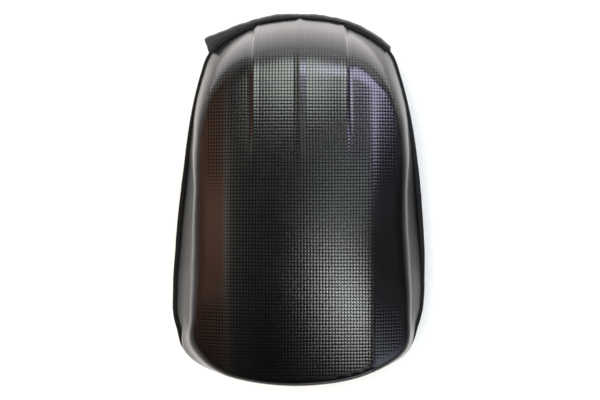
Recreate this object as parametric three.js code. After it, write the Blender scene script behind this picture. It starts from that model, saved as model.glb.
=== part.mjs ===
// Hard-shell motorcycle backpack, zipped shut and lying on its back with the shell facing up.
// Millimetres. X runs across the bag, +Y points to its top end, +Z from the wearer's side to the shell.
// The origin is under the middle of the bag, on the surface that it lies on.
import * as THREE from 'three';

// Layers, from the surface that the bag lies on up to the rim of the shell
const GAP = 0.3;
const STRAP_THICKNESS = 11;
const BACK_THICKNESS = 13;
const GUSSET_HEIGHT = 16;
const ZIP_HEIGHT = 15;
const BINDING_HEIGHT = 6;
const BACK_Z = STRAP_THICKNESS + GAP;
const GUSSET_Z = BACK_Z + BACK_THICKNESS + GAP;
const ZIP_Z = GUSSET_Z + GUSSET_HEIGHT + GAP;
const BINDING_Z = ZIP_Z + ZIP_HEIGHT + GAP;
const RIM_Z = BINDING_Z + BINDING_HEIGHT + GAP;

// Right half of the bag's edge, from the middle of the top end to the middle of the bottom end,
// with the number of steps from each point to the next
const RIM = [
  { x: 0, y: 225, steps: 7 },
  { x: 56, y: 217.5, steps: 6 },
  { x: 97, y: 197, steps: 3 },
  { x: 114.5, y: 180, steps: 2 },
  { x: 124.5, y: 153, steps: 2 },
  { x: 136.5, y: 103, steps: 3 },
  { x: 146.5, y: 33, steps: 3 },
  { x: 154, y: -47, steps: 3 },
  { x: 156.5, y: -122, steps: 2 },
  { x: 153.5, y: -163.5, steps: 3 },
  { x: 145, y: -198, steps: 3 },
  { x: 89.5, y: -222.5, steps: 5 },
];
const RIM_BOTTOM_Y = -232.8;
const RIM_HALF_WIDTH = 157;
const HUB = new THREE.Vector2(0, -23);

// The bag lies a little crooked: how far its edge is off the middle plane along its length
const CROOK = [
  { y: -230, shift: -7 },
  { y: -165, shift: -3.6 },
  { y: -110, shift: -1.5 },
  { y: -60, shift: 0 },
  { y: 40, shift: 1.3 },
  { y: 170, shift: 0.5 },
];

// How far the shell's rim is set in from the edge on either side, or out where it is negative, by bearing from
// the hub in degrees
const RIM_INSET = [
  { bearing: -90, left: -0.9, right: -0.9 },
  { bearing: -72, left: -1.2, right: -1.6 },
  { bearing: -59, left: -6, right: -1.2 },
  { bearing: -40, left: 1.4, right: 0 },
  { bearing: -28, left: 1.6, right: 0.4 },
  { bearing: -8, left: 1.9, right: 2.4 },
  { bearing: 7, left: 1.9, right: 3 },
  { bearing: 42, left: 0.1, right: 0.3 },
  { bearing: 50, left: 0, right: 0 },
];

// Shell wall, by bearing from the hub in degrees: how far in from the rim it reaches on either side, the
// share of that run over which it steepens from its flared foot, and the power of the curve that then rounds
// it into the crown
const WALL_RUN = [
  { bearing: -90, left: 14, right: 14 },
  { bearing: -72, left: 16, right: 15.5 },
  { bearing: -62, left: 25.5, right: 19.5 },
  { bearing: -54, left: 41, right: 24 },
  { bearing: -46, left: 45.5, right: 29 },
  { bearing: -40, left: 47, right: 33.5 },
  { bearing: -30, left: 45, right: 36.5 },
  { bearing: -18, left: 38, right: 35 },
  { bearing: -8, left: 33.5, right: 32.8 },
  { bearing: 0, left: 31.2, right: 31 },
  { bearing: 9, left: 28.5, right: 28.3 },
  { bearing: 26, left: 27, right: 26.5 },
  { bearing: 42, left: 26, right: 24.5 },
  { bearing: 50, left: 33, right: 33 },
  { bearing: 65, left: 66, right: 66 },
  { bearing: 80, left: 83, right: 83 },
  { bearing: 90, left: 85, right: 85 },
];
const WALL_FOOT = [
  { bearing: -90, share: 0.45 },
  { bearing: -72, share: 0.55 },
  { bearing: -48, share: 0.64 },
  { bearing: 12, share: 0.64 },
  { bearing: 34, share: 0.34 },
  { bearing: 48, share: 0.001 },
];
const WALL_CURVE = [
  { bearing: 12, power: 3 },
  { bearing: 48, power: 2.4 },
];
const WALL_FLARE = 0.5;

// Round the bottom end the wall curls under, and the seam that it is sewn to is tucked in below it
const TUCK = [
  { bearing: -54, depth: 9 },
  { bearing: -36, depth: 0 },
];
const TUCK_SHARE = 0.35;

// Crown of the shell
const SHELL_WALL = 3;
const CROWN_HEIGHT = 103;
const CROWN_Y = -63;
const CROWN_FALL = 23;
const CROWN_FALL_RUN = 250;
const CROWN_CAMBER = 20;
const CREASE_X = 88;
const CREASE_SOFTNESS = 6;
const BEVEL_SLOPE = Math.tan(THREE.MathUtils.degToRad(15));
const OUTER_STEPS = { wall: [0, 0.25, 0.5, 0.68, 0.8, 0.9, 1], crown: 8 };
const INNER_STEPS = { wall: [0, 0.35, 0.68, 0.84, 1], crown: 4 };

// The middle of the shell's top end is raised, with a ridge along its middle and along each of its edges.
// They run down from the rim, where the ridges are tallest, and fade into the crown.
const STEP_X = 58;
const STEP_RUN = 7;
const STEP_HEIGHT = 2;
const RIDGES = [
  { x: -55, width: 12, crown: 0.6, rim: 0.9 },
  { x: 0, width: 14, crown: 1.1, rim: 1.7 },
  { x: 55, width: 12, crown: 0.6, rim: 0.9 },
];
const RIDGE_LOW_Y = 150;
const RIDGE_RIM_Y = 222;
const RIB_FULL_Y = 127;
const RIB_END_Y = 22;

// Edge pieces: distances out from the seam, and from the rim for the inner side of the binding
const BINDING_IN = -2.5;
const BINDING_OUT = 3.6;
const BINDING_ROUND = 0.9;
const BINDING_STEPS = 4;
const TAPE_IN = 0.3;
const TAPE_THICKNESS = 1.6;
const COIL_HEIGHT = 5;
const COIL_OUT = 4;
const GUSSET_WALL = 2;
const GUSSET_BULGE = 4.5;
const GUSSET_STEPS = 4;
const BACK_EDGE_ROUND = 4;
const BACK_EDGE_FACET = 0.3;
const HINGE_HALF_WIDTH = 50;
const SLIDER = { length: 14, height: 9, noseHeight: 7, thickness: 3.4, pullLength: 15, pullHeight: 5 };
const SLIDER_X = 64;

// Top flap: how far its lip leans out from the seam, by place across the bag
const FLAP_THICKNESS = 1.8;
const FLAP_HEIGHT = 21;
const FLAP_KNEE = { out: 4.4, rise: 5 };
const FLAP_LEAN = [
  { x: -113, out: 14 },
  { x: -107, out: 17 },
  { x: -97, out: 12.5 },
  { x: -84, out: 9 },
  { x: -62, out: 6.4 },
  { x: -28, out: 6.6 },
  { x: 0, out: 5.6 },
  { x: 45, out: 5.4 },
  { x: 84, out: 5.2 },
  { x: 106, out: 4.6 },
  { x: 112, out: 6 },
];

// Shoulder straps: the path of the right one, and its sections from the top anchor to the buckle end
const STRAP_PATH = [
  { x: 46, y: 176 },
  { x: 56, y: 128 },
  { x: 76, y: 58 },
  { x: 88, y: -12 },
  { x: 94, y: -82 },
];
const STRAP_SECTIONS = [
  { share: 0, halfWidth: 24, low: 5, high: 11 },
  { share: 0.06, halfWidth: 27, low: 0.8, high: 11 },
  { share: 0.18, halfWidth: 31, low: 0, high: 11 },
  { share: 0.55, halfWidth: 33, low: 0, high: 11 },
  { share: 0.8, halfWidth: 29, low: 0, high: 11 },
  { share: 0.9, halfWidth: 24, low: 0.8, high: 10.6 },
  { share: 0.94, halfWidth: 19, low: 3.6, high: 9.2 },
  { share: 1, halfWidth: 17, low: 3.7, high: 9.1 },
];
const STRAP_STEPS = 16;
const STRAP_ROUND_SHARE = 1 / 3;

// Buckle and webbing, measured along the strap from the end of its pad
const WEB_WIDTH = 25;
const WEB_THICKNESS = 1.5;
const WEB_BEND = 3.1;
const WEB_MID_Z = STRAP_THICKNESS - WEB_BEND - WEB_THICKNESS;
const WEB_LENGTH = 92;
const WEB_TAIL = 58;
const TAB_LENGTH = 22;
const BAR = 4;
const SLOT_LENGTH = 7;
const SLOT_WIDTHS = [27, 28];
const BUCKLE_WIDTH = 36;
const BUCKLE_START = 5;
const BEND_STEPS = 8;

const SHELL_BLACK = new THREE.MeshStandardMaterial({ color: 0x17171a, roughness: 0.3, metalness: 0 });
const TRIM_BLACK = new THREE.MeshStandardMaterial({ color: 0x0c0c0d, roughness: 0.75, metalness: 0 });
const CLOTH_BLACK = new THREE.MeshStandardMaterial({ color: 0x1b1b1d, roughness: 0.9, metalness: 0 });
const MESH_BLACK = new THREE.MeshStandardMaterial({ color: 0x141415, roughness: 0.95, metalness: 0 });
const PLASTIC_BLACK = new THREE.MeshStandardMaterial({ color: 0x101011, roughness: 0.5, metalness: 0 });

const bag = new THREE.Group();

function addPiece(name, geometry, material, parent = bag) {
  const mesh = new THREE.Mesh(geometry, material);
  mesh.name = name;
  parent.add(mesh);
}

function smoothStep(from, to, value) {
  return THREE.MathUtils.smoothstep(value, from, to);
}

// Reads one column of a table at a value of its key column, easing from row to row
function lookUp(table, key, column, value) {
  const last = table.length - 1;
  if (value <= table[0][key]) return table[0][column];
  if (value >= table[last][key]) return table[last][column];
  const above = table.findIndex((row) => row[key] >= value);
  const [low, high] = [table[above - 1], table[above]];
  const share = (value - low[key]) / (high[key] - low[key]);
  return THREE.MathUtils.lerp(low[column], high[column], share * share * (3 - 2 * share));
}

// Faces that join rows of points, each row a closed ring, one to the next
function joinRows(rows, loop) {
  const around = rows[0].length;
  const faces = [];
  const joins = loop ? rows.length : rows.length - 1;
  for (let row = 0; row < joins; row += 1) {
    const here = row * around;
    const there = ((row + 1) % rows.length) * around;
    for (let i = 0; i < around; i += 1) {
      const next = (i + 1) % around;
      faces.push(here + i, there + i, here + next);
      faces.push(here + next, there + i, there + next);
    }
  }
  return faces;
}

// Closed surface over rows of rings whose first and last rows close on a pole each
function dome(rows, poles) {
  const around = rows[0].length;
  const faces = joinRows(rows, false);
  const firstPole = rows.length * around;
  const lastRow = firstPole - around;
  for (let i = 0; i < around; i += 1) {
    const next = (i + 1) % around;
    faces.push(firstPole, i, next);
    faces.push(firstPole + 1, lastRow + next, lastRow + i);
  }
  return closedGeometry([...rows.flat(), ...poles], faces);
}

// Closed surface of a band: each row goes up its back and down its face, and an open band has flat ends
function band(rows, loop) {
  const around = rows[0].length;
  const faces = joinRows(rows, loop);
  const lastRow = (rows.length - 1) * around;
  for (let level = 0; level < around / 2 - 1 && !loop; level += 1) {
    const [back, nextBack] = [level, level + 1];
    const [face, nextFace] = [around - 1 - level, around - 2 - level];
    faces.push(back, nextBack, face, nextBack, nextFace, face);
    faces.push(lastRow + nextBack, lastRow + back, lastRow + face);
    faces.push(lastRow + nextBack, lastRow + face, lastRow + nextFace);
  }
  return closedGeometry(rows.flat(), faces);
}

// Geometry whose faces are turned to point outwards
function closedGeometry(points, faces) {
  if (signedVolume(points, faces) < 0) faces.reverse();
  const geometry = new THREE.BufferGeometry().setFromPoints(points);
  geometry.setIndex(faces);
  geometry.computeVertexNormals();
  return geometry;
}

function signedVolume(points, faces) {
  let volume = 0;
  for (let f = 0; f < faces.length; f += 3) {
    const [a, b, c] = [points[faces[f]], points[faces[f + 1]], points[faces[f + 2]]];
    volume += a.dot(new THREE.Vector3().crossVectors(b, c)) / 6;
  }
  return volume;
}

function centreOf(points) {
  const sum = points.reduce((total, point) => total.add(point), new THREE.Vector3());
  return sum.divideScalar(points.length);
}

// Stations round the bag, clockwise from the middle of the top end, each with its outward direction,
// the rim of the shell, the seam of the edge pieces below it and the shape of the wall above it
function makeStations() {
  const right = RIM.map((row) => new THREE.Vector3(row.x, row.y, 0));
  const bottom = new THREE.Vector3(0, RIM_BOTTOM_Y, 0);
  const left = right.slice(1).reverse().map((point) => new THREE.Vector3(-point.x, point.y, 0));
  const curve = new THREE.CatmullRomCurve3([...right, bottom, ...left], true, 'centripetal');
  const steps = RIM.map((row) => row.steps);
  const stations = [];
  [...steps, ...steps.toReversed()].forEach((count, segment, all) => {
    for (let step = 0; step < count; step += 1) {
      const along = (segment + step / count) / all.length;
      const tangent = curve.getTangent(along);
      const spot = curve.getPoint(along);
      const bearing = THREE.MathUtils.radToDeg(Math.atan2(spot.y - HUB.y, Math.abs(spot.x - HUB.x)));
      const side = spot.x > HUB.x ? 'right' : 'left';
      const out = new THREE.Vector2(-tangent.y, tangent.x);
      const edge = new THREE.Vector2(spot.x + lookUp(CROOK, 'y', 'shift', spot.y), spot.y);
      const inset = lookUp(RIM_INSET, 'bearing', side, bearing);
      const tuck = lookUp(TUCK, 'bearing', 'depth', bearing);
      stations.push({
        rim: edge.clone().addScaledVector(out, -inset),
        seam: edge.clone().addScaledVector(out, -tuck),
        out,
        inset,
        tuck,
        wallRun: lookUp(WALL_RUN, 'bearing', side, bearing),
        foot: lookUp(WALL_FOOT, 'bearing', 'share', bearing),
        curve: lookUp(WALL_CURVE, 'bearing', 'power', bearing),
      });
    }
  });
  return stations;
}

const stations = makeStations();

// Point at a distance out from the seam and a height above the surface
function edgePoint(station, out, z) {
  const spot = station.seam.clone().addScaledVector(station.out, out);
  return new THREE.Vector3(spot.x, spot.y, z);
}

// Band along a run of stations. Its levels, rows of { z, back, face }, say how far out from the seam its
// back and its face lie at each height.
function edgeBand(run, levelsAt, loop) {
  return band(run.map((station) => {
    const levels = levelsAt(station);
    const backs = levels.map(({ z, back }) => edgePoint(station, back, z));
    const fronts = levels.map(({ z, face }) => edgePoint(station, face, z));
    return [...backs, ...fronts.toReversed()];
  }), loop);
}

// Station moved a little way clockwise along the seam
function nudged(station, distance) {
  const seam = station.seam.clone();
  seam.x += station.out.y * distance;
  seam.y -= station.out.x * distance;
  return { ...station, seam };
}

// Height of the crown above the rim: highest below the middle, cambered across, bevelled past the creases
function crownHeight(x, y) {
  const lengthways = CROWN_FALL * ((y - CROWN_Y) / CROWN_FALL_RUN) ** 2;
  const across = CROWN_CAMBER * (x / RIM_HALF_WIDTH) ** 2;
  const past = Math.abs(x) - CREASE_X;
  const bevel = (BEVEL_SLOPE * (past + Math.hypot(past, CREASE_SOFTNESS))) / 2;
  return CROWN_HEIGHT - lengthways - across - bevel;
}

// Height of the raised middle and its ridges over the crown
function ribHeight(x, y) {
  const past = smoothStep(STEP_X - STEP_RUN / 2, STEP_X + STEP_RUN / 2, Math.abs(x));
  const nearRim = smoothStep(RIDGE_LOW_Y, RIDGE_RIM_Y, y);
  let height = STEP_HEIGHT * (1 - past);
  for (const ridge of RIDGES) {
    const share = Math.min(1, Math.abs(x - ridge.x) / (ridge.width / 2));
    const top = THREE.MathUtils.lerp(ridge.crown, ridge.rim, nearRim);
    height += (top * (1 + Math.cos(Math.PI * share))) / 2;
  }
  return height * smoothStep(RIB_END_Y, RIB_FULL_Y, y);
}

// Share of the crown's height that the wall has climbed at a share of its run
function wallRise(climb, { foot, curve }) {
  const low = Math.min(climb, foot);
  const left = Math.min(1, (1 - climb) / (1 - foot));
  const bend = (1 - foot) / curve;
  const footRise = WALL_FLARE * low + ((1 - WALL_FLARE) * low ** 2) / (2 * foot);
  return (footRise + bend * (1 - left ** curve)) / ((foot * (1 + WALL_FLARE)) / 2 + bend);
}

// Point of the shell's outer face, or of its inner face when it is set in by the wall
function shellPoint(station, inset, wall) {
  const rise = wallRise(Math.min(1, inset / station.wallRun), station);
  const curl = station.tuck * Math.max(0, 1 - rise / TUCK_SHARE) ** 2;
  const fromHub = station.rim.clone().sub(HUB);
  const reach = fromHub.length() - wall;
  const share = 1 - inset / fromHub.length();
  const spot = HUB.clone().addScaledVector(fromHub.normalize(), reach * share);
  spot.addScaledVector(station.out, -curl);
  const rib = ribHeight(spot.x, spot.y);
  const z = RIM_Z + rise * (crownHeight(spot.x, spot.y) - wall + rib);
  return new THREE.Vector3(spot.x, spot.y + rib * (1 - rise), z);
}

// Rows of one face of the shell from the rim inwards, and the point that closes them over the hub
function shellFace(wall, steps) {
  const rows = [];
  for (const share of steps.wall) {
    rows.push(stations.map((station) => shellPoint(station, station.wallRun * share, wall)));
  }
  for (let step = 1; step < steps.crown; step += 1) {
    rows.push(stations.map((station) => {
      const crownRun = station.rim.distanceTo(HUB) - station.wallRun;
      return shellPoint(station, station.wallRun + (crownRun * step) / steps.crown, wall);
    }));
  }
  const pole = new THREE.Vector3(HUB.x, HUB.y, RIM_Z + crownHeight(HUB.x, HUB.y) - wall);
  return { rows, pole };
}

function frontShell() {
  const outer = shellFace(0, OUTER_STEPS);
  const inner = shellFace(SHELL_WALL, INNER_STEPS);
  return dome([...inner.rows.toReversed(), ...outer.rows], [inner.pole, outer.pole]);
}

// Bead of oval section under the rim
function bindingLevels({ inset }) {
  const inner = BINDING_IN - Math.max(0, inset);
  const middle = (inner + BINDING_OUT) / 2;
  const half = (BINDING_OUT - inner) / 2;
  const levels = [];
  for (let step = 0; step <= BINDING_STEPS; step += 1) {
    const height = (2 * step) / BINDING_STEPS - 1;
    const bulge = half * Math.sqrt(1 - (height * BINDING_ROUND) ** 2);
    const z = BINDING_Z + (BINDING_HEIGHT * (height + 1)) / 2;
    levels.push({ z, back: middle - bulge, face: middle + bulge });
  }
  return levels;
}

// Tape with the raised row of the coil along its middle
function zipLevels() {
  const [back, face] = [TAPE_IN, TAPE_IN + TAPE_THICKNESS];
  const middle = ZIP_Z + ZIP_HEIGHT / 2;
  return [
    { z: ZIP_Z, back, face },
    { z: middle - COIL_HEIGHT / 2, back, face },
    { z: middle - COIL_HEIGHT / 4, back, face: COIL_OUT },
    { z: middle + COIL_HEIGHT / 4, back, face: COIL_OUT },
    { z: middle + COIL_HEIGHT / 2, back, face },
    { z: ZIP_Z + ZIP_HEIGHT, back, face },
  ];
}

// Flat strip of cloth in line with the zip's tape
function hingeLevels() {
  const [back, face] = [TAPE_IN, TAPE_IN + TAPE_THICKNESS];
  return [{ z: ZIP_Z, back, face }, { z: ZIP_Z + ZIP_HEIGHT, back, face }];
}

// Wall of cloth that bulges out between its two seams
function gussetLevels() {
  const levels = [];
  for (let step = 0; step <= GUSSET_STEPS; step += 1) {
    const share = step / GUSSET_STEPS;
    const back = GUSSET_BULGE * Math.sin(Math.PI * share);
    levels.push({ z: GUSSET_Z + GUSSET_HEIGHT * share, back, face: back + GUSSET_WALL });
  }
  return levels;
}

// Flap that leaves the seam under the zip, clears the coil at its knee and leans out to its lip
function flapLevels({ rim }) {
  const root = ZIP_Z + GAP;
  const line = [
    { z: root, back: TAPE_IN + TAPE_THICKNESS + GAP },
    { z: root + FLAP_KNEE.rise, back: FLAP_KNEE.out },
    { z: root + FLAP_HEIGHT, back: lookUp(FLAP_LEAN, 'x', 'out', rim.x) },
  ];
  return line.map(({ z, back }) => ({ z, back, face: back + FLAP_THICKNESS }));
}

function flapRun() {
  const [first, last] = [FLAP_LEAN[0].x, FLAP_LEAN[FLAP_LEAN.length - 1].x];
  const run = stations.filter(({ rim }) => rim.y > HUB.y && rim.x > first && rim.x < last);
  return run.sort((a, b) => a.rim.x - b.rim.x);
}

// Padded back with rounded edges
function backPanel() {
  const edge = GUSSET_WALL;
  const round = BACK_EDGE_ROUND;
  const top = BACK_Z + BACK_THICKNESS;
  const profile = [
    { out: edge - round, z: BACK_Z },
    { out: edge - round * BACK_EDGE_FACET, z: BACK_Z + round * BACK_EDGE_FACET },
    { out: edge, z: BACK_Z + round },
    { out: edge, z: top },
    { out: edge - round, z: top },
  ];
  const rows = profile.map(({ out, z }) => stations.map((station) => edgePoint(station, out, z)));
  return dome(rows, [new THREE.Vector3(HUB.x, HUB.y, BACK_Z), new THREE.Vector3(HUB.x, HUB.y, top)]);
}

// Slider body on the coil with its pull lying along the zip
function zipSlider() {
  const shape = new THREE.Shape();
  const { length, height, noseHeight, pullLength, pullHeight } = SLIDER;
  shape.moveTo(-length / 2, -height / 2);
  shape.lineTo(length / 2, -noseHeight / 2);
  shape.lineTo(length / 2, -pullHeight / 2);
  shape.lineTo(length / 2 + pullLength, -pullHeight / 2);
  shape.lineTo(length / 2 + pullLength, pullHeight / 2);
  shape.lineTo(length / 2, pullHeight / 2);
  shape.lineTo(length / 2, noseHeight / 2);
  shape.lineTo(-length / 2, height / 2);
  shape.closePath();
  return new THREE.ExtrudeGeometry(shape, { depth: SLIDER.thickness, bevelEnabled: false });
}

// Stations along the middle of one shoulder strap
function strapStations(side) {
  const points = STRAP_PATH.map(({ x, y }) => new THREE.Vector3(side * x, y, 0));
  const curve = new THREE.CatmullRomCurve3(points);
  return curve.getSpacedPoints(STRAP_STEPS).map((spot, step) => {
    const tangent = curve.getTangentAt(step / STRAP_STEPS);
    return { spot, tangent, share: step / STRAP_STEPS };
  });
}

// Pad of rounded section that thins to a tongue at its buckle end
function strapPad(side) {
  const rows = strapStations(side).map(({ spot, tangent, share }) => {
    const half = lookUp(STRAP_SECTIONS, 'share', 'halfWidth', share);
    const low = lookUp(STRAP_SECTIONS, 'share', 'low', share);
    const high = lookUp(STRAP_SECTIONS, 'share', 'high', share);
    const round = (high - low) * STRAP_ROUND_SHARE;
    const section = [
      { across: half, z: low + round },
      { across: half, z: high - round },
      { across: half - round, z: high },
      { across: round - half, z: high },
      { across: -half, z: high - round },
      { across: -half, z: low + round },
      { across: round - half, z: low },
      { across: half - round, z: low },
    ];
    return section.map(({ across, z }) => new THREE.Vector3(
      spot.x + across * tangent.y,
      spot.y - across * tangent.x,
      z,
    ));
  });
  return dome(rows, [centreOf(rows[0]), centreOf(rows[rows.length - 1])]);
}

// Ribbon folded round a bar: seen from the side, two legs joined by a half turn. Local X runs along
// the strap, and the legs reach to the lengths given on the side that direction names.
function foldedWeb(barX, direction, upperLength, lowerLength) {
  const inner = WEB_BEND;
  const outer = WEB_BEND + WEB_THICKNESS;
  const turnsBack = direction > 0;
  const shape = new THREE.Shape();
  shape.moveTo(barX + direction * upperLength, inner);
  shape.lineTo(barX, inner);
  shape.absarc(barX, 0, inner, Math.PI / 2, -Math.PI / 2, !turnsBack);
  shape.lineTo(barX + direction * lowerLength, -inner);
  shape.lineTo(barX + direction * lowerLength, -outer);
  shape.lineTo(barX, -outer);
  shape.absarc(barX, 0, outer, -Math.PI / 2, Math.PI / 2, turnsBack);
  shape.lineTo(barX + direction * upperLength, outer);
  shape.closePath();
  const across = { depth: WEB_WIDTH, bevelEnabled: false, curveSegments: BEND_STEPS };
  const ribbon = new THREE.ExtrudeGeometry(shape, across);
  ribbon.translate(0, 0, -WEB_WIDTH / 2);
  ribbon.rotateX(Math.PI / 2);
  return ribbon;
}

// Ladder buckle: three bars across a flat frame
function ladderBuckle() {
  const length = 3 * BAR + 2 * SLOT_LENGTH;
  const half = BUCKLE_WIDTH / 2;
  const frame = new THREE.Shape();
  frame.moveTo(0, -half);
  frame.lineTo(length, -half);
  frame.lineTo(length, half);
  frame.lineTo(0, half);
  SLOT_WIDTHS.forEach((width, i) => {
    const start = BAR + i * (BAR + SLOT_LENGTH);
    const slot = new THREE.Path();
    slot.moveTo(start, -width / 2);
    slot.lineTo(start, width / 2);
    slot.lineTo(start + SLOT_LENGTH, width / 2);
    slot.lineTo(start + SLOT_LENGTH, -width / 2);
    frame.holes.push(slot);
  });
  const buckle = new THREE.ExtrudeGeometry(frame, { depth: BAR, bevelEnabled: false });
  buckle.translate(0, 0, -BAR / 2);
  return buckle;
}

function addStrap(side, name) {
  addPiece(`strap_pad_${name}`, strapPad(side), MESH_BLACK);
  const { spot, tangent } = strapStations(side)[STRAP_STEPS];
  const lower = new THREE.Group();
  lower.position.set(spot.x, spot.y, WEB_MID_Z);
  lower.rotation.z = Math.atan2(tangent.y, tangent.x);
  bag.add(lower);
  const topBar = BUCKLE_START + BAR / 2;
  const middleBar = topBar + BAR + SLOT_LENGTH;
  addPiece(`strap_tab_${name}`, foldedWeb(topBar, -1, TAB_LENGTH, TAB_LENGTH), TRIM_BLACK, lower);
  addPiece(`strap_web_${name}`, foldedWeb(middleBar, 1, WEB_LENGTH, WEB_TAIL), TRIM_BLACK, lower);
  const buckle = new THREE.Group();
  buckle.position.x = BUCKLE_START;
  lower.add(buckle);
  addPiece(`strap_buckle_${name}`, ladderBuckle(), PLASTIC_BLACK, buckle);
}

function addSlider() {
  const seat = stations
    .filter(({ rim }) => rim.y < HUB.y)
    .reduce((best, next) => (
      Math.abs(next.rim.x - SLIDER_X) < Math.abs(best.rim.x - SLIDER_X) ? next : best
    ));
  const holder = new THREE.Group();
  holder.position.copy(edgePoint(seat, COIL_OUT + 2 * GAP, ZIP_Z + ZIP_HEIGHT / 2));
  const outward = new THREE.Vector3(seat.out.x, seat.out.y, 0);
  const up = new THREE.Vector3(0, 0, 1);
  const along = new THREE.Vector3().crossVectors(up, outward);
  holder.quaternion.setFromRotationMatrix(new THREE.Matrix4().makeBasis(along, up, outward));
  bag.add(holder);
  addPiece('zip_slider', zipSlider(), PLASTIC_BLACK, holder);
}

// The zip runs clockwise from one end of the hinge to the other, and the hinge closes the ring
const isHinge = ({ rim }) => rim.y < HUB.y && Math.abs(rim.x) < HINGE_HALF_WIDTH;
const hingeStart = stations.findIndex(isHinge);
const fromHinge = [...stations.slice(hingeStart), ...stations.slice(0, hingeStart)];
const zipRun = fromHinge.filter((station) => !isHinge(station));
const hingeRun = [
  nudged(zipRun[zipRun.length - 1], GAP),
  ...stations.filter(isHinge),
  nudged(zipRun[0], -GAP),
];

addPiece('front_shell', frontShell(), SHELL_BLACK);
addPiece('rim_binding', edgeBand(stations, bindingLevels, true), TRIM_BLACK);
addPiece('zip_band', edgeBand(zipRun, zipLevels, false), TRIM_BLACK);
addPiece('hinge_band', edgeBand(hingeRun, hingeLevels, false), CLOTH_BLACK);
addPiece('gusset', edgeBand(stations, gussetLevels, true), CLOTH_BLACK);
addPiece('top_flap', edgeBand(flapRun(), flapLevels, false), CLOTH_BLACK);
addPiece('back_panel', backPanel(), MESH_BLACK);
addSlider();
addStrap(-1, 'left');
addStrap(1, 'right');

export default bag;
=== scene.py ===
import math

import bmesh
import bpy
import numpy as np
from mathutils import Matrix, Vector
from mathutils.geometry import delaunay_2d_cdt


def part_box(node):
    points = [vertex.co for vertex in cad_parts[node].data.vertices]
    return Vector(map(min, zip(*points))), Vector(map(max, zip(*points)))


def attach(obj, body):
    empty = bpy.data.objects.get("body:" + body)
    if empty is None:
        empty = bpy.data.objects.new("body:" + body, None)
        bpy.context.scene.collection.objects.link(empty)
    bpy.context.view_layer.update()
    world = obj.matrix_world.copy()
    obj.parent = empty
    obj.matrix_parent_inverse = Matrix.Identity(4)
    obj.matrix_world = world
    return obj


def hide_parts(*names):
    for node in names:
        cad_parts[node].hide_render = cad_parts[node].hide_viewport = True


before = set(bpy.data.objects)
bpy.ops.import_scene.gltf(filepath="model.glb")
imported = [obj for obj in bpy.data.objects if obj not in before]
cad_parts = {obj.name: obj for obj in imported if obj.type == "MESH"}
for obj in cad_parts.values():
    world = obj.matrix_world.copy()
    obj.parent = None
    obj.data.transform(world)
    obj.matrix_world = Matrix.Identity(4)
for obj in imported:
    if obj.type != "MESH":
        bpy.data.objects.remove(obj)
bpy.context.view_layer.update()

# Sizes are in millimetres and meshes are made in metres
MM = 0.001
GAP = 0.3
UP = np.array((0.0, 0.0, 1.0))
DOWN = np.array((0.0, 0.0, -1.0))

# Layers, from the surface that the bag lies on up to the rim of the shell
BACK_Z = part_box("back_panel")[0].z / MM
BACK_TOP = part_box("back_panel")[1].z / MM
GUSSET_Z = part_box("gusset")[0].z / MM
GUSSET_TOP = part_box("gusset")[1].z / MM
ZIP_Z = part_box("zip_band")[0].z / MM
ZIP_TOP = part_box("zip_band")[1].z / MM
BINDING_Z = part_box("rim_binding")[0].z / MM
BINDING_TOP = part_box("rim_binding")[1].z / MM
RIM_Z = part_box("front_shell")[0].z / MM

# Right half of the shell's rim, from the middle of the top end to the middle of the bottom end
RIM = [
    (0, 225),
    (56, 217.5),
    (97, 197),
    (114.5, 180),
    (124.5, 153),
    (136.5, 103),
    (146.5, 33),
    (154, -47),
    (156.5, -122),
    (153.5, -163.5),
    (145, -198),
    (89.5, -222.5),
]
RIM_BOTTOM_Y = -232.8
RIM_HALF_WIDTH = 157
HUB = np.array((0.0, -23.0))

# Steps of a curve from knot to knot, and the bearing past which the rim belongs to an end of the bag
CURVE_STEPS = 60
END_BEARING = 40

# Tables of (key, value) or of (key, left, right), eased from row to row. The key is a bearing from the hub,
# in degrees above the line across it, but a place along the bag in CROOK and one across it in FLAP_LEAN
CROOK = [(-230, -7), (-165, -3.6), (-110, -1.5), (-60, 0), (40, 1.3), (170, 0.5)]
RIM_INSET = [
    (-90, -0.9, -0.9),
    (-72, -1.2, -1.6),
    (-59, -6, -1.2),
    (-40, 1.4, 0),
    (-28, 1.6, 0.4),
    (-8, 1.9, 2.4),
    (7, 1.9, 3),
    (42, 0.1, 0.3),
    (50, 0, 0),
]
WALL_EVENED = 36
WALL_RUN = [
    (-90, 14, 14),
    (-72, 16, 15.5),
    (-62, 25.5, 19.5),
    (-54, 41, 24),
    (-46, 45.5, 29),
    (-40, 47, 33.5),
    (-30, 45, 36.5),
    (-18, 38, 35),
    (-8, 33.5, 32.8),
    (0, 31.2, 31),
    (9, 28.5, 28.3),
    (26, 27, 26.5),
    (42, 26, 24.5),
    (50, 33, 33),
    (65, 66, 66),
    (80, 83, 83),
    (90, 85, 85),
]
WALL_STRAIGHT = [(-90, 0.45), (-72, 0.55), (-48, 0.64), (12, 0.64), (34, 0.34), (48, 0)]
WALL_CURVE = [(12, 3), (48, 2.4)]
WALL_FLARE = 0.5
TUCK = [(-54, 9), (-36, 0)]
TUCK_SHARE = 0.35
FLAP_LEAN = [
    (-113, 14),
    (-107, 17),
    (-97, 12.5),
    (-84, 9),
    (-62, 6.4),
    (-28, 6.6),
    (0, 5.6),
    (45, 5.4),
    (84, 5.2),
    (115, 4.4),
]

# Crown of the shell
SHELL_WALL = 3
CROWN_HEIGHT = 103
CROWN_Y = -63
CROWN_FALL = 23
CROWN_FALL_RUN = 250
CROWN_CAMBER = 20
CREASE_X = 88
CREASE_SOFTNESS = 6
BEVEL_SLOPE = math.tan(math.radians(15))

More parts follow.
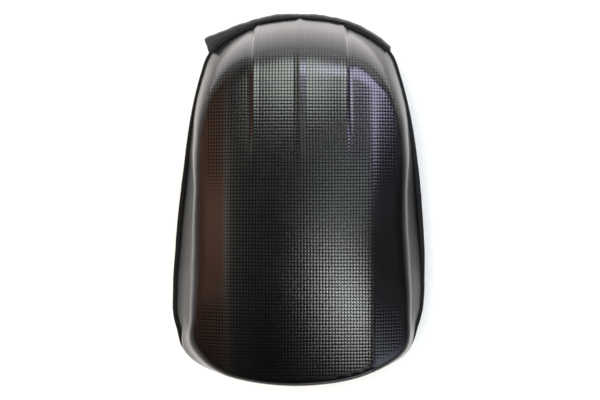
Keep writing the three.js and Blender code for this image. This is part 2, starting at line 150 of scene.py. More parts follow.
# Raised middle of the shell's top end, with a ridge along its middle and along each of its edges. A ridge is
# (place, width, height on the crown, height at the rim)
STEP_X = 58
STEP_RUN = 7
STEP_HEIGHT = 2
RIDGES = [(-55, 12, 0.6, 0.9), (0, 14, 1.1, 1.7), (55, 12, 0.6, 0.9)]
RIDGE_RIM_Y = (150, 222)
RIB_FULL_Y = 127
RIB_END_Y = 22

# Square emboss of the shell's skin. PLAIN_BEVEL is the share of it that the bevels lack, by places along the
# bag. LATTICE_EDGE is where the crown's lattice starts on the wall, by bearing. A scan is (from, to, places)
CELL_X = 3.7
CELL_Y = 4.05
EMBOSS = 0.12
EMBOSS_TOP = 0.25
EMBOSS_FADE = 9
SHARP_DEPTH = 0.25
NO_DEPTH = -1.0
PLAIN_BEVEL = [(-140, 0), (-108, 0.9), (-20, 0.9), (40, 0)]
SLOPE_EMBOSS = 0.4
SLOPE_RISE = (0.82, 0.97)
LATTICE_EDGE = [(-90, 1), (40, 1), (62, 0.1)]
LATTICE_MARGIN = 1.5
LATTICE_ROW_Y = -60.0
SCAN_ACROSS = (-170, 170, 3401)
SCAN_LENGTHWAYS = (-240, 240, 4801)
RIM_STEPS = 360
POLAR_STEPS = 1440
WALL_CELLS = 22
WALL_FINENESS = 12
WALL_EMBOSS = 0.15
INNER_STEPS = {"wall": 5, "crown": 5}

# How matt the wall is by bearing, as painted shade that dulls its reflection, and the share of that which is
# left at its crest
WALL_MATT_SHADE = [
    (-72, 0.5, 0.5),
    (-60, 0.8, 0.75),
    (-50, 0.75, 0.7),
    (-40, 0.65, 0.7),
    (-32, 0.7, 0.82),
    (-20, 0.87, 0.95),
    (10, 0.87, 0.94),
    (26, 0.78, 0.84),
    (36, 0.5, 0.5),
    (60, 0.5, 0.5),
    (75, 0.65, 0.65),
]
CREST_MATT_SHADE = [(-56, 0.55, 0.55), (-38, 0.55, 0.72), (26, 0.55, 0.72), (44, 0.55, 0.55)]
CREST_SHARE = (0.5, 0.85)


def smooth_step(low, high, value):
    share = np.clip((value - low) / (high - low), 0, 1)
    return share * share * (3 - 2 * share)


def look_up(table, value):
    keys, numbers = np.array(table, float).T
    value = np.clip(value, keys[0], keys[-1])
    above = np.clip(np.searchsorted(keys, value), 1, len(keys) - 1)
    share = smooth_step(keys[above - 1], keys[above], value)
    return numbers[above - 1] + (numbers[above] - numbers[above - 1]) * share


def look_up_columns(table, value):
    columns = np.array(table, float)
    return [look_up(columns[:, (0, c)], value) for c in range(1, columns.shape[1])]


def look_up_side(table, value, right):
    on_left, on_right = look_up_columns(table, value)
    return np.where(right, on_right, on_left)


def evened(values, reach):
    """Values along a closed line, averaged over their neighbours."""
    weights = np.hanning(2 * reach + 1)
    wrapped = np.concatenate([values[-reach:], values, values[:reach]])
    return np.convolve(wrapped, weights / weights.sum(), "valid")


def distances(line):
    """How far along a line of points each of them lies."""
    steps = np.linalg.norm(np.diff(line, axis=0), axis=1)
    return np.concatenate([[0], np.cumsum(steps)])


def catmull_rom(knots, closed, steps):
    """Points and directions along a centripetal curve through the knots."""
    knots = np.array(knots, float)
    count = len(knots)
    if closed:
        padded = np.vstack([knots[-1], knots, knots[:2]])
    else:
        padded = np.vstack([2 * knots[0] - knots[1], knots, 2 * knots[-1] - knots[-2]])
    share = (np.arange(steps) / steps)[:, None]
    spots, directions = [], []
    for i in range(count if closed else count - 1):
        before, start, end, after = padded[i : i + 4]
        root = [math.sqrt(np.linalg.norm(b - a)) for a, b in ((before, start), (start, end), (end, after))]
        leave = (start - before) / root[0] - (end - before) / (root[0] + root[1]) + (end - start) / root[1]
        arrive = (end - start) / root[1] - (after - start) / (root[1] + root[2]) + (after - end) / root[2]
        leave, arrive = leave * root[1], arrive * root[1]
        square = 3 * (end - start) - 2 * leave - arrive
        cube = 2 * (start - end) + leave + arrive
        spots.append(start + leave * share + square * share**2 + cube * share**3)
        directions.append(leave + 2 * square * share + 3 * cube * share**2)
    if not closed:
        spots.append(knots[-1:])
        directions.append(directions[-1][-1:])
    spots, directions = np.vstack(spots), np.vstack(directions)
    return spots, directions / np.linalg.norm(directions, axis=1)[:, None]


class Seam:
    """The edge of the bag, clockwise from the middle of its top end, read by the distance along it."""

    def __init__(self):
        right = np.array(RIM, float)
        left = right[:0:-1] * (-1, 1)
        spots, tangents = catmull_rom(np.vstack([right, [(0, RIM_BOTTOM_Y)], left]), True, CURVE_STEPS)
        out = np.stack([-tangents[:, 1], tangents[:, 0]], axis=1)
        bearing = np.degrees(np.arctan2(spots[:, 1] - HUB[1], np.abs(spots[:, 0] - HUB[0])))
        right_side = spots[:, 0] > HUB[0]
        edge = spots.copy()
        edge[:, 0] += look_up(CROOK, spots[:, 1])
        inset = evened(look_up_side(RIM_INSET, bearing, right_side), WALL_EVENED)
        wall_run = evened(look_up_side(WALL_RUN, bearing, right_side), WALL_EVENED)
        tuck = look_up(TUCK, bearing)
        places = [edge - out * inset[:, None], edge - out * tuck[:, None], out]
        self.table = np.hstack(places + [c[:, None] for c in (tuck, bearing, inset, wall_run)])
        self.table = np.vstack([self.table, self.table[:1]])
        self.bearing = np.append(bearing, bearing[0])
        self.distance = distances(self.table[:, :2])
        self.length = self.distance[-1]

    def at(self, distance):
        """Stations as a dict of arrays."""
        wrapped = np.mod(distance, self.length)
        read = np.stack([np.interp(wrapped, self.distance, c) for c in self.table.T], axis=1)
        rim, edge, out = read[:, 0:2], read[:, 2:4], read[:, 4:6]
        tuck, bearing, inset, wall_run = read[:, 6:].T
        right = rim[:, 0] > HUB[0]
        return {
            "distance": np.asarray(distance, float),
            "rim": rim,
            "seam": edge,
            "out": out / np.linalg.norm(out, axis=1)[:, None],
            "tuck": tuck,
            "inset": inset,
            "wall_run": wall_run,
            "straight": look_up(WALL_STRAIGHT, bearing),
            "curve": look_up(WALL_CURVE, bearing),
            "edge": look_up(LATTICE_EDGE, bearing),
            # Painted shade of the wall, and the share of it left at the crest
            "matt_shade": look_up_side(WALL_MATT_SHADE, bearing, right),
            "crest": look_up_side(CREST_MATT_SHADE, bearing, right),
        }

    def ring(self, count):
        return self.at(np.arange(count) * self.length / count)

    def distance_at_x(self, x, top):
        """How far along the seam its rim passes a place across the bag, at its top or bottom end."""
        choice = np.flatnonzero(self.bearing > END_BEARING if top else self.bearing < -END_BEARING)
        return self.distance[choice[np.argmin(np.abs(self.table[choice, 0] - x))]]


seam = Seam()


def edge_points(stations, out, z):
    """Points at distances out from the seam and heights above the surface."""
    spot = stations["seam"] + stations["out"] * np.broadcast_to(out, len(stations["tuck"]))[:, None]
    return np.column_stack([spot, np.broadcast_to(z, len(spot))])


# Mesh making


def ring_faces(rings, around, closed=False):
    """Quads between rings of points, and each corner's (ring, place), past the last one where they wrap."""
    row, column = np.meshgrid(np.arange(rings if closed else rings - 1), np.arange(around), indexing="ij")
    row, column = row.ravel(), column.ravel()
    corner_rows = np.stack([row, row, row + 1, row + 1], axis=1)
    corner_columns = np.stack([column, column + 1, column + 1, column], axis=1)
    faces = corner_rows % rings * around + corner_columns % around
    return faces.tolist(), corner_rows, corner_columns


def add_object(name, mesh, material):
    mesh.materials.append(material)
    piece = bpy.data.objects.new(name, mesh)
    bpy.context.scene.collection.objects.link(piece)
    return piece


def make_mesh(name, points, faces, uvs=None):
    """Smooth mesh whose faces point outwards. uvs gives each corner's place in metres."""
    mesh = bpy.data.meshes.new(name)
    mesh.from_pydata((np.asarray(points, float) * MM).tolist(), [], [list(map(int, face)) for face in faces])
    if uvs is not None:
        layer = mesh.uv_layers.new(name="flat")
        layer.data.foreach_set("uv", np.asarray(uvs, float).ravel())
    work = bmesh.new()
    work.from_mesh(mesh)
    bmesh.ops.recalc_face_normals(work, faces=work.faces)
    work.to_mesh(mesh)
    work.free()
    mesh.polygons.foreach_set("use_smooth", np.ones(len(mesh.polygons), bool))
    return mesh


def add_piece(name, mesh, material, slot, *replaced):
    piece = add_object(name, mesh, material)
    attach(piece, "root")
    if replaced:
        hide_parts(*replaced)
    return piece


def tube_mesh(name, sections, along, closed):
    """Skin over closed sections (stations, section points, 3), capped at the ends where it isn't a ring."""
    stations, around = sections.shape[:2]
    faces, rows, columns = ring_faces(stations, around, closed)
    across = distances(np.vstack([sections[0], sections[0][:1]])) * MM
    length = np.append(along, 2 * along[-1] - along[-2]) * MM
    uvs = np.stack([length[rows], across[columns]], axis=2).reshape(-1, 2).tolist()
    if not closed:
        for first in (0, (stations - 1) * around):
            faces.append(list(range(first, first + around)))
            uvs += [(length[0], a) for a in across[:-1]]
    return make_mesh(name, sections.reshape(-1, 3), faces, uvs)


def join_meshes(name, parts):
    """One mesh of copies of small parts, each (points, faces)."""
    points, faces, first = [], [], 0
    for part_points, part_faces in parts:
        points.append(part_points)
        faces += [[first + i for i in face] for face in part_faces]
        first += len(part_points)
    return make_mesh(name, np.vstack(points), faces)


def band_sections(stations, levels):
    """Sections of a band along the seam. A level is (z, back, face), each a number or an array."""
    backs = [edge_points(stations, back, z) for z, back, face in levels]
    fronts = [edge_points(stations, face, z) for z, back, face in reversed(levels)]
    return np.stack(backs + fronts, axis=1)


STITCH_LENGTH = 3.2
STITCH_GAP = 1.0
STITCH_RADIUS = 0.42
THREAD_SIDES = 6


def thread(start, end, radius, lift, arch=0.45):
    """One stitch: a rounded thread that rises out of the cloth between two points."""
    run = end - start
    side = np.cross(lift, run)
    side = side / np.linalg.norm(side) * radius
    # Share of the run, height and width of each ring
    rings = ((0, -0.4, 0.5), (0.15, arch, 1), (0.85, arch, 1), (1, -0.4, 0.5))
    points = []
    for share, height, width in rings:
        middle = start + run * share + lift * radius * height
        for angle in np.arange(THREAD_SIDES) * math.tau / THREAD_SIDES:
            points.append(middle + (side * math.cos(angle) + lift * radius * math.sin(angle)) * width)
    faces, _, _ = ring_faces(len(rings), THREAD_SIDES)
    for first in (0, len(points) - THREAD_SIDES):
        faces.append(list(range(first, first + THREAD_SIDES)))
    return np.array(points), faces


def stitch_row(line, lifts):
    """Stitches along a line of points, lifted along one direction or along one for each point."""
    lifts = np.broadcast_to(lifts, line.shape)
    distance = distances(line)
    count = int(distance[-1] / (STITCH_LENGTH + STITCH_GAP))
    pitch = distance[-1] / count

    def at(rows, place):
        return np.array([np.interp(place, distance, c) for c in rows.T])

    stitches = []
    for i in range(count):
        place = i * pitch
        lift = at(lifts, place)
        lift = lift / np.linalg.norm(lift)
        stitches.append(thread(at(line, place), at(line, place + STITCH_LENGTH), STITCH_RADIUS, lift))
    return stitches


def seam_stitches(stations, out, z, closed):
    """Stitches along the seam on a face that looks outwards."""
    line = edge_points(stations, out, z)
    lifts = np.column_stack([stations["out"], np.zeros(len(line))])
    if closed:
        line, lifts = np.vstack([line, line[:1]]), np.vstack([lifts, lifts[:1]])
    return stitch_row(line, lifts)


# Materials


class Nodes:
    """A node tree, built from nothing."""

    def __init__(self, tree):
        self.tree = tree
        tree.nodes.clear()

    def add(self, kind, **settings):
        node = self.tree.nodes.new(kind)
        for name, value in settings.items():
            setattr(node, name, value)
        return node

    def feed(self, node, **values):
        """Sets a node's inputs by name, from numbers or from other sockets."""
        for name, value in values.items():
            socket = node.inputs[int(name[1:])] if name[1:].isdigit() else node.inputs[name.replace("_", " ")]
            if isinstance(value, bpy.types.NodeSocket):
                self.tree.links.new(value, socket)
            else:
                socket.default_value = value
        return node

    def math(self, operation, *values):
        node = self.add("ShaderNodeMath", operation=operation)
        return self.feed(node, **{f"i{place}": value for place, value in enumerate(values)}).outputs[0]

    def ramp(self, factor, *stops):
        """Colours, or single greys, at places from 0 to 1, read by a factor."""
        node = self.feed(self.add("ShaderNodeValToRGB"), Fac=factor)
        while len(node.color_ramp.elements) < len(stops):
            node.color_ramp.elements.new(1)
        for element, (place, colour) in zip(node.color_ramp.elements, stops):
            element.position = place
            element.color = (*colour, 1) if len(colour) == 3 else (*colour * 3, 1)
        return node.outputs["Color"]


class Shader(Nodes):
    """A material's node tree with its Principled shader."""

    def __init__(self, name, roughness, ior=1.5):
        self.material = bpy.data.materials.new(name)
        self.material.use_nodes = True
        super().__init__(self.material.node_tree)
        self.surface = self.feed(self.add("ShaderNodeBsdfPrincipled"), Roughness=roughness, IOR=ior)
        self.feed(self.add("ShaderNodeOutputMaterial"), Surface=self.surface.outputs["BSDF"])

    def noise(self, vector, scale, detail=3.0, roughness=0.6):
        node = self.add("ShaderNodeTexNoise")
        self.feed(node, Vector=vector, Scale=scale, Detail=detail, Roughness=roughness)
        return node.outputs["Fac"]

    def bump(self, height, depth_mm, strength=1.0):
        node = self.feed(self.add("ShaderNodeBump"), Height=height, Distance=depth_mm * MM, Strength=strength)
        self.set(Normal=node.outputs["Normal"])

    def set(self, **values):
        self.feed(self.surface, **values)

    def flat(self):
        return self.add("ShaderNodeUVMap", uv_map="flat").outputs["UV"]

    def place(self):
        return self.add("ShaderNodeTexCoord").outputs["Object"]


def shell_skin():
    """Satin black moulded skin: fine-grained and a little duller in drifts, with painted shade where its
    mattness lowers the specular level, in the emboss's grooves and on the walls.
    """
    shader = Shader("shell_skin", 0.3, 1.35)
    place = shader.place()
    drift = shader.noise(place, 14.0, 4.0)
    grain = shader.noise(place, 2600.0, 2.0)
    tone = shader.ramp(drift, (0.35, (0.0014, 0.0014, 0.0016)), (0.7, (0.0024, 0.0023, 0.0024)))
    shader.set(Base_Color=tone)
    shader.set(Roughness=shader.ramp(drift, (0.3, (0.19,)), (0.75, (0.23,))))
    # Painted shade: the point's mattness lowers the specular level, darkening the reflection in the emboss's
    # grooves and on the walls
    matt_shade = shader.add("ShaderNodeAttribute", attribute_name="matt_shade").outputs["Fac"]
    shader.set(Specular_IOR_Level=shader.math("SUBTRACT", 0.5, shader.math("MULTIPLY", matt_shade, 0.48)))
    shader.bump(grain, 0.012, 0.5)
    return shader.material


def weave(name, dark, light, pitch_mm, roughness, sheen=0.0, depth_mm=0.12, gloss=0.3):
    """Plain weave: two sets of threads that pass over and under each other."""
    shader = Shader(name, roughness)
    threads = shader.add("ShaderNodeVectorMath", operation="SCALE")
    shader.feed(threads, i0=shader.flat(), Scale=1 / (pitch_mm * MM))
    split = shader.feed(shader.add("ShaderNodeSeparateXYZ"), Vector=threads.outputs["Vector"])
    along, across = split.outputs["X"], split.outputs["Y"]
    warp = shader.math("ABSOLUTE", shader.math("SINE", shader.math("MULTIPLY", along, math.pi)))
    weft = shader.math("ABSOLUTE", shader.math("SINE", shader.math("MULTIPLY", across, math.pi)))
    turn = shader.math("ADD", shader.math("FLOOR", along), shader.math("FLOOR", across))
    over = shader.math("FLOORED_MODULO", turn, 2.0)
    under = shader.math("SUBTRACT", 1.0, over)
    height = shader.math("ADD", shader.math("MULTIPLY", warp, over), shader.math("MULTIPLY", weft, under))
    fibre = shader.noise(shader.place(), 420.0, 4.0)
    tone = shader.math("MULTIPLY", height, shader.math("ADD", 0.4, fibre))
    shader.set(Base_Color=shader.ramp(tone, (0.1, dark), (0.85, light)))
    shader.set(Sheen_Weight=sheen, Sheen_Roughness=0.4, Specular_IOR_Level=gloss)
    shader.bump(height, depth_mm, 0.8)
    return shader.material


def spacer_mesh(name, pitch_mm):
    """Knitted mesh with rows of small round holes."""
    shader = Shader(name, 0.85)
    holes = shader.feed(
        shader.add("ShaderNodeTexVoronoi", feature="F1"),
        Vector=shader.flat(),
        Scale=1 / (pitch_mm * MM),
        Randomness=0.12,
    )
    distance = holes.outputs["Distance"]
    knit = shader.noise(shader.place(), 900.0, 3.0)
    shader.set(Base_Color=shader.ramp(distance, (0.22, (0.002,)), (0.42, (0.022, 0.022, 0.023))))
    height = shader.math("ADD", distance, shader.math("MULTIPLY", knit, 0.25))
    shader.set(Sheen_Weight=0.25, Sheen_Roughness=0.5)
    shader.bump(height, 0.6, 0.8)
    return shader.material


def moulded_plastic():
    """Black moulded plastic with a spark-eroded grain, rubbed a little smoother in places."""
    shader = Shader("moulded_plastic", 0.45)
    place = shader.place()
    wear = shader.noise(place, 60.0, 3.0)
    grain = shader.noise(place, 3200.0, 2.0)
    shader.set(Base_Color=shader.ramp(wear, (0.3, (0.010, 0.010, 0.0105)), (0.75, (0.017, 0.017, 0.018))))
    shader.set(Roughness=shader.ramp(wear, (0.3, (0.5,)), (0.75, (0.34,))))
    shader.bump(grain, 0.03, 0.6)
    return shader.material


def clouded(name, roughness, scale, dark, light, depth_mm, strength):
    """Plain stuff with one fine cloud in its tone and on its surface."""
    shader = Shader(name, roughness)
    cloud = shader.noise(shader.place(), scale, 2.0)
    shader.set(Base_Color=shader.ramp(cloud, dark, light))
    shader.bump(cloud, depth_mm, strength)
    return shader.material


SHELL_SKIN = shell_skin()
BINDING_TAPE = weave("binding_tape", (0.001,), (0.006, 0.006, 0.0062), 0.7, 0.9, gloss=0.1)
ZIP_TAPE = weave("zip_tape", (0.001,), (0.006, 0.006, 0.0062), 0.8, 0.9, gloss=0.1)
CLOTH = weave("coarse_cloth", (0.002,), (0.014, 0.014, 0.0145), 1.0, 0.8, 0.05, gloss=0.15)
FLAP_CLOTH = weave("flap_cloth", (0.012, 0.0125, 0.013), (0.052, 0.054, 0.055), 1.1, 0.7, 0.3)
WEBBING = weave("webbing", (0.003,), (0.022, 0.022, 0.023), 1.3, 0.7, 0.1, 0.2)
PADDING = spacer_mesh("spacer_mesh", 2.6)
PLASTIC = moulded_plastic()
COIL = clouded("nylon_coil", 0.35, 300.0, (0.3, (0.006,)), (0.8, (0.013, 0.013, 0.014)), 0.02, 0.4)
THREAD = clouded("sewing_thread", 0.6, 2400.0, (0.3, (0.012,)), (0.75, (0.035, 0.035, 0.036)), 0.08, 0.8)


# Front shell


def crown_height(x, y):
    """Height of the crown above the rim, without its ribs."""
    lengthways = CROWN_FALL * ((y - CROWN_Y) / CROWN_FALL_RUN) ** 2
    across = CROWN_CAMBER * (x / RIM_HALF_WIDTH) ** 2
    past = np.abs(x) - CREASE_X
    bevel = BEVEL_SLOPE * (past + np.hypot(past, CREASE_SOFTNESS)) / 2
    return CROWN_HEIGHT - lengthways - across - bevel


def rib_height(x, y):
    """Height of the raised middle over the crown, with its ridges tallest at the rim."""
    fade = smooth_step(RIB_END_Y, RIB_FULL_Y, y)
    near_rim = smooth_step(*RIDGE_RIM_Y, y)
    height = STEP_HEIGHT * (1 - smooth_step(STEP_X - STEP_RUN / 2, STEP_X + STEP_RUN / 2, np.abs(x)))
    for place, width, crown, rim in RIDGES:
        share = np.minimum(1, np.abs(x - place) / (width / 2))
        height = height + (crown + (rim - crown) * near_rim) * (1 + np.cos(math.pi * share)) / 2
    return height * fade


def wall_rise(stations, inset):
    """Share of the crown's height along the wall: it steepens from its flared foot, then rounds over."""
    climb = np.clip(inset / stations["wall_run"], 0, 1)
    foot = np.maximum(stations["straight"], 1e-3)
    curve = stations["curve"]
    low = np.minimum(climb, foot)
    left = np.minimum(1, (1 - climb) / (1 - foot))
    bend = (1 - foot) / curve
    rise = WALL_FLARE * low + (1 - WALL_FLARE) * low**2 / (2 * foot) + bend * (1 - left**curve)
    return rise / (foot * (1 + WALL_FLARE) / 2 + bend)


def shell_points(stations, inset, wall):
    """Points of the shell's outer face, or of its inner face where wall is its thickness."""
    rise = wall_rise(stations, inset)
    curl = stations["tuck"] * np.maximum(0, 1 - rise / TUCK_SHARE) ** 2
    from_hub = stations["rim"] - HUB
    reach = np.linalg.norm(from_hub, axis=1)
    spot = HUB + from_hub / reach[:, None] * ((reach - wall) * (1 - inset / reach))[:, None]
    spot = spot - stations["out"] * curl[:, None]
    x, y = spot.T
    rib = rib_height(x, y)
    z = RIM_Z + rise * (crown_height(x, y) - wall + rib)
    return np.column_stack([x, y + rib * (1 - rise), z])


class ShellPolar:
    """Reads the rim by the direction from the hub, to find the outer face over any place inside it."""

    def __init__(self):
        stations = seam.ring(POLAR_STEPS)
        from_hub = stations["rim"] - HUB
        angle = np.arctan2(from_hub[:, 1], from_hub[:, 0])
        order = np.argsort(angle)
        self.angle = np.concatenate([angle[order] - math.tau, angle[order], angle[order] + math.tau])
        columns = {"reach": np.linalg.norm(from_hub, axis=1)}
        names = ("wall_run", "straight", "curve", "edge", "matt_shade", "crest")
        columns.update({name: stations[name] for name in names})
        self.columns = {name: np.tile(column[order], 3) for name, column in columns.items()}

    def read(self, x, y):
        angle = np.arctan2(y - HUB[1], x - HUB[0])
        rim = {name: np.interp(angle, self.angle, column) for name, column in self.columns.items()}
        rim["inset"] = rim["reach"] - np.hypot(x - HUB[0], y - HUB[1])
        return rim

    def points(self, x, y):
        rim = self.read(x, y)
        rise = wall_rise(rim, rim["inset"])
        rib = rib_height(x, y)
        z = RIM_Z + rise * (crown_height(x, y) + rib)
        return np.stack([x, y + rib * (1 - rise), z], axis=-1)


def even_lines(line, pitch):
    """Places along one axis at equal steps over a curved line of points, counted from its highest middle."""
    distance = distances(line[:, 1:])
    middle = np.interp(0, line[:, 0], distance)
    first = math.ceil(-middle / pitch)
    last = math.floor((distance[-1] - middle) / pitch)
    return np.interp(middle + np.arange(first, last + 1) * pitch, distance, line[:, 0])


def kept_border(kept, ids):
    """Vertices round the kept cells of a grid, in order, counterclockwise."""
    edges = set()
    for j, i in zip(*np.nonzero(kept)):
        corners = [int(ids[j, i]), int(ids[j, i + 1]), int(ids[j + 1, i + 1]), int(ids[j + 1, i])]
        edges.update(zip(corners, corners[1:] + corners[:1]))
    following = {a: b for a, b in edges if (b, a) not in edges}
    loop = [next(iter(following))]
    while following[loop[-1]] != loop[0]:
        loop.append(following[loop[-1]])
    return loop


def encloses(loop, spots):
    """Which of the places lie inside a loop of places."""
    here, there = loop, np.roll(loop, -1, axis=0)
    x, y = spots[:, :1], spots[:, 1:]
    spans = (here[:, 1] > y) != (there[:, 1] > y)
    rise = np.where(there[:, 1] == here[:, 1], 1, there[:, 1] - here[:, 1])
    crossing = here[:, 0] + (there[:, 0] - here[:, 0]) * (y - here[:, 1]) / rise
    return (spans & (x < crossing)).sum(axis=1) % 2 == 1


def strip_between(points, inner, outer):
    """Triangles between two loops of vertices, one round the other."""
    loops = np.array(list(inner) + list(outer))
    flat = points[loops][:, :2]
    count = len(inner)
    edges = [(i, (i + 1) % count) for i in range(count)]
    edges += [(count + i, count + (i + 1) % len(outer)) for i in range(len(outer))]
    _, _, faces, origins, _, _ = delaunay_2d_cdt([Vector(spot) for spot in flat], edges, [], 1, 1e-6)
    faces = np.array([[origins[v][0] for v in face] for face in faces])
    between = ~encloses(flat[:count], flat[faces].mean(axis=1))
    return loops[faces[between]].tolist()


class Skin:
    """Points and faces of an embossed surface, with the emboss's depth and the mattness at each point, which
    paints shade into the shell's reflection.
    """

    def __init__(self):
        self.points = np.zeros((0, 3))
        self.depth = np.zeros(0)
        self.matt_shade = np.zeros(0)
        self.faces = []

    def add(self, points, depth, matt_shade):
        first, count = len(self.points), len(points)
        self.points = np.vstack([self.points, points])
        self.depth = np.concatenate([self.depth, np.broadcast_to(depth, count)])
        # Painted shade: a point is at least as matt as the emboss is deep there, darkening the reflection in
        # the grooves
        self.matt_shade = np.concatenate([self.matt_shade, np.broadcast_to(np.maximum(matt_shade, depth), count)])
        return np.arange(first, first + count)

    def emboss(self, ids, kept, normals, depth, matt_shade):
        """Raises a small flat-topped pillow in each kept cell of a grid of vertices."""
        j, i = np.nonzero(kept)
        corners = [(j, i), (j, i + 1), (j + 1, i + 1), (j + 1, i)]
        corner_ids = np.stack([ids[c] for c in corners], axis=1)
        corner_points = self.points[corner_ids]
        cell_depth = np.mean([depth[c] for c in corners], axis=0)
        normal = np.mean([normals[c] for c in corners], axis=0)
        middle = corner_points.mean(axis=1, keepdims=True)
        tops = middle + (corner_points - middle) * (1 - 2 * EMBOSS_TOP)
        tops = tops + (normal * (EMBOSS * cell_depth)[:, None])[:, None]
        # The tops get only the wall's painted shade, not that of the grooves, so they stay glossier
        cell_matt_shade = np.mean([matt_shade[c] for c in corners], axis=0)
        top_ids = self.add(tops.reshape(-1, 3), NO_DEPTH, np.repeat(cell_matt_shade, 4)).reshape(-1, 4)
        self.faces += top_ids.tolist()
        for a in range(4):
            b = (a + 1) % 4
            sides = np.stack([corner_ids[:, a], corner_ids[:, b], top_ids[:, b], top_ids[:, a]], axis=1)
            self.faces += sides.tolist()


def grid_normals(points):
    """Upward normals of a grid of points."""
    normals = np.cross(np.gradient(points, axis=1), np.gradient(points, axis=0))
    return normals / np.maximum(np.linalg.norm(normals, axis=2, keepdims=True), 1e-9)


def closed_rings(grid):
    """Rings in rows, each with its first entry again at its end."""
    return np.concatenate([grid, grid[:, :1]], axis=1)


def lattice_lines(polar):
    """Places of the lattice's lines across and along the bag, evenly spaced over the shell."""
    across, lengthways = np.linspace(*SCAN_ACROSS), np.linspace(*SCAN_LENGTHWAYS)
    scans = [
        (0, across, np.full(len(across), LATTICE_ROW_Y), CELL_X),
        (1, np.zeros(len(lengthways)), lengthways, CELL_Y),
    ]
    lines = []
    for axis, x, y, pitch in scans:
        inside = polar.read(x, y)["inset"] > 0
        x, y = x[inside], y[inside]
        points = polar.points(x, y)
        lines.append(even_lines(np.column_stack([(x, y)[axis], points[:, axis], points[:, 2]]), pitch))
    return lines


def even_wall(stations, run):
    """Rings up the wall, evenly spaced along its slope at each station."""
    samples = WALL_FINENESS * WALL_CELLS
    insets = np.outer(np.arange(samples + 1) / samples, run)
    fine = np.stack([shell_points(stations, inset, 0) for inset in insets])
    steps = np.linalg.norm(np.diff(fine, axis=0), axis=2)
    climbed = np.vstack([np.zeros(len(run)), np.cumsum(steps, axis=0)])
    shares = np.arange(WALL_CELLS + 1) / WALL_CELLS
    even = [np.interp(shares * c[-1], c, inset) for c, inset in zip(climbed.T, insets.T)]
    return np.stack([shell_points(stations, inset, 0) for inset in np.array(even).T])


def add_shell():
    skin = Skin()
    polar = ShellPolar()
    stations = seam.ring(RIM_STEPS)
    lattice_run = stations["edge"] * stations["wall_run"]

    # Wall: rings of cells from the rim up to the edge of the crown's lattice
    rings = even_wall(stations, lattice_run)
    from_top = np.linalg.norm(rings - rings[-1], axis=2)
    from_rim = np.linalg.norm(rings - rings[0], axis=2)
    depth = WALL_EMBOSS * smooth_step(0, EMBOSS_FADE, from_top) * smooth_step(0, EMBOSS_FADE, from_rim)
    # Painted shade on the wall: mattness by bearing, less of it towards the crest
    crest = smooth_step(*CREST_SHARE, np.linspace(0, 1, WALL_CELLS + 1))
    matt_shade = (1 + np.outer(crest, stations["crest"] - 1)) * stations["matt_shade"]
    ring_ids = skin.add(rings.reshape(-1, 3), depth.ravel(), matt_shade.ravel()).reshape(rings.shape[:2])
    ids, rings, depth, matt_shade = (closed_rings(grid) for grid in (ring_ids, rings, depth, matt_shade))
    skin.emboss(ids, np.ones((WALL_CELLS, RIM_STEPS), bool), -grid_normals(rings), depth, matt_shade)

    # Crown: a lattice of cells square to the bag
    xs, ys = lattice_lines(polar)
    x, y = np.meshgrid(xs, ys)
    rim = polar.read(x, y)
    inside = rim["inset"] - rim["edge"] * rim["wall_run"] - LATTICE_MARGIN
    kept = inside > 0
    kept = kept[:-1, :-1] & kept[:-1, 1:] & kept[1:, 1:] & kept[1:, :-1]
    points = polar.points(x, y)
    fade = smooth_step(0, EMBOSS_FADE, inside)
    # Painted shade at the crown's edge: the wall's mattness, fading inwards
    matt_shade = rim["crest"] * rim["matt_shade"] * (1 - fade)
    past_crease = smooth_step(CREASE_X - CREASE_SOFTNESS, CREASE_X + CREASE_SOFTNESS, np.abs(x))
    rise = wall_rise(rim, rim["inset"])
    depth = SLOPE_EMBOSS + (1 - SLOPE_EMBOSS) * smooth_step(*SLOPE_RISE, rise)
    depth *= fade * (1 - past_crease * look_up(PLAIN_BEVEL, y))
    ids = skin.add(points.reshape(-1, 3), depth.ravel(), matt_shade.ravel()).reshape(x.shape)
    skin.emboss(ids, kept, grid_normals(points), depth, matt_shade)
    skin.faces += strip_between(skin.points, kept_border(kept, ids), ring_ids[-1].tolist()[::-1])

    # Inner face, from the rim to the point over the hub
    below = ring_ids[0]
    reach = np.linalg.norm(stations["rim"] - HUB, axis=1)
    for step in range(INNER_STEPS["wall"] + INNER_STEPS["crown"]):
        climb = min(step, INNER_STEPS["wall"]) / INNER_STEPS["wall"]
        crown = max(0, step - INNER_STEPS["wall"]) / INNER_STEPS["crown"]
        inset = stations["wall_run"] * climb + (reach - stations["wall_run"]) * crown
        above = skin.add(shell_points(stations, inset, SHELL_WALL), NO_DEPTH, 0)
        following = np.roll(above, -1)
        skin.faces += np.stack([below, np.roll(below, -1), following, above], axis=1).tolist()
        below = above
    pole = (*HUB, RIM_Z + float(crown_height(*HUB)) - SHELL_WALL)
    centre = int(skin.add([pole], NO_DEPTH, 0)[0])
    skin.faces += [[int(a), int(b), centre] for a, b in zip(below, np.roll(below, -1))]

    # Points that a face uses, with sharp edges along the cells' borders where the emboss is deep
    used = np.unique(np.concatenate([np.ravel(face) for face in skin.faces]))
    renumber = np.full(len(skin.points), -1)
    renumber[used] = np.arange(len(used))
    faces = [[renumber[v] for v in face] for face in skin.faces]
    mesh = make_mesh("shell", skin.points[used], faces)
    # The mattness goes to the shader as painted shade
    mesh.attributes.new("matt_shade", "FLOAT", "POINT").data.foreach_set("value", skin.matt_shade[used])
    sharp = skin.depth[used] > SHARP_DEPTH
    ends = np.zeros(2 * len(mesh.edges), int)
    mesh.edges.foreach_get("vertices", ends)
    ends = ends.reshape(-1, 2)
    creased = sharp[ends].all(axis=1)
    mesh.attributes.new("sharp_edge", "BOOLEAN", "EDGE").data.foreach_set("value", creased)
    add_piece("shell", mesh, SHELL_SKIN, "shell", "front_shell")


# Edge pieces: distances out from the seam

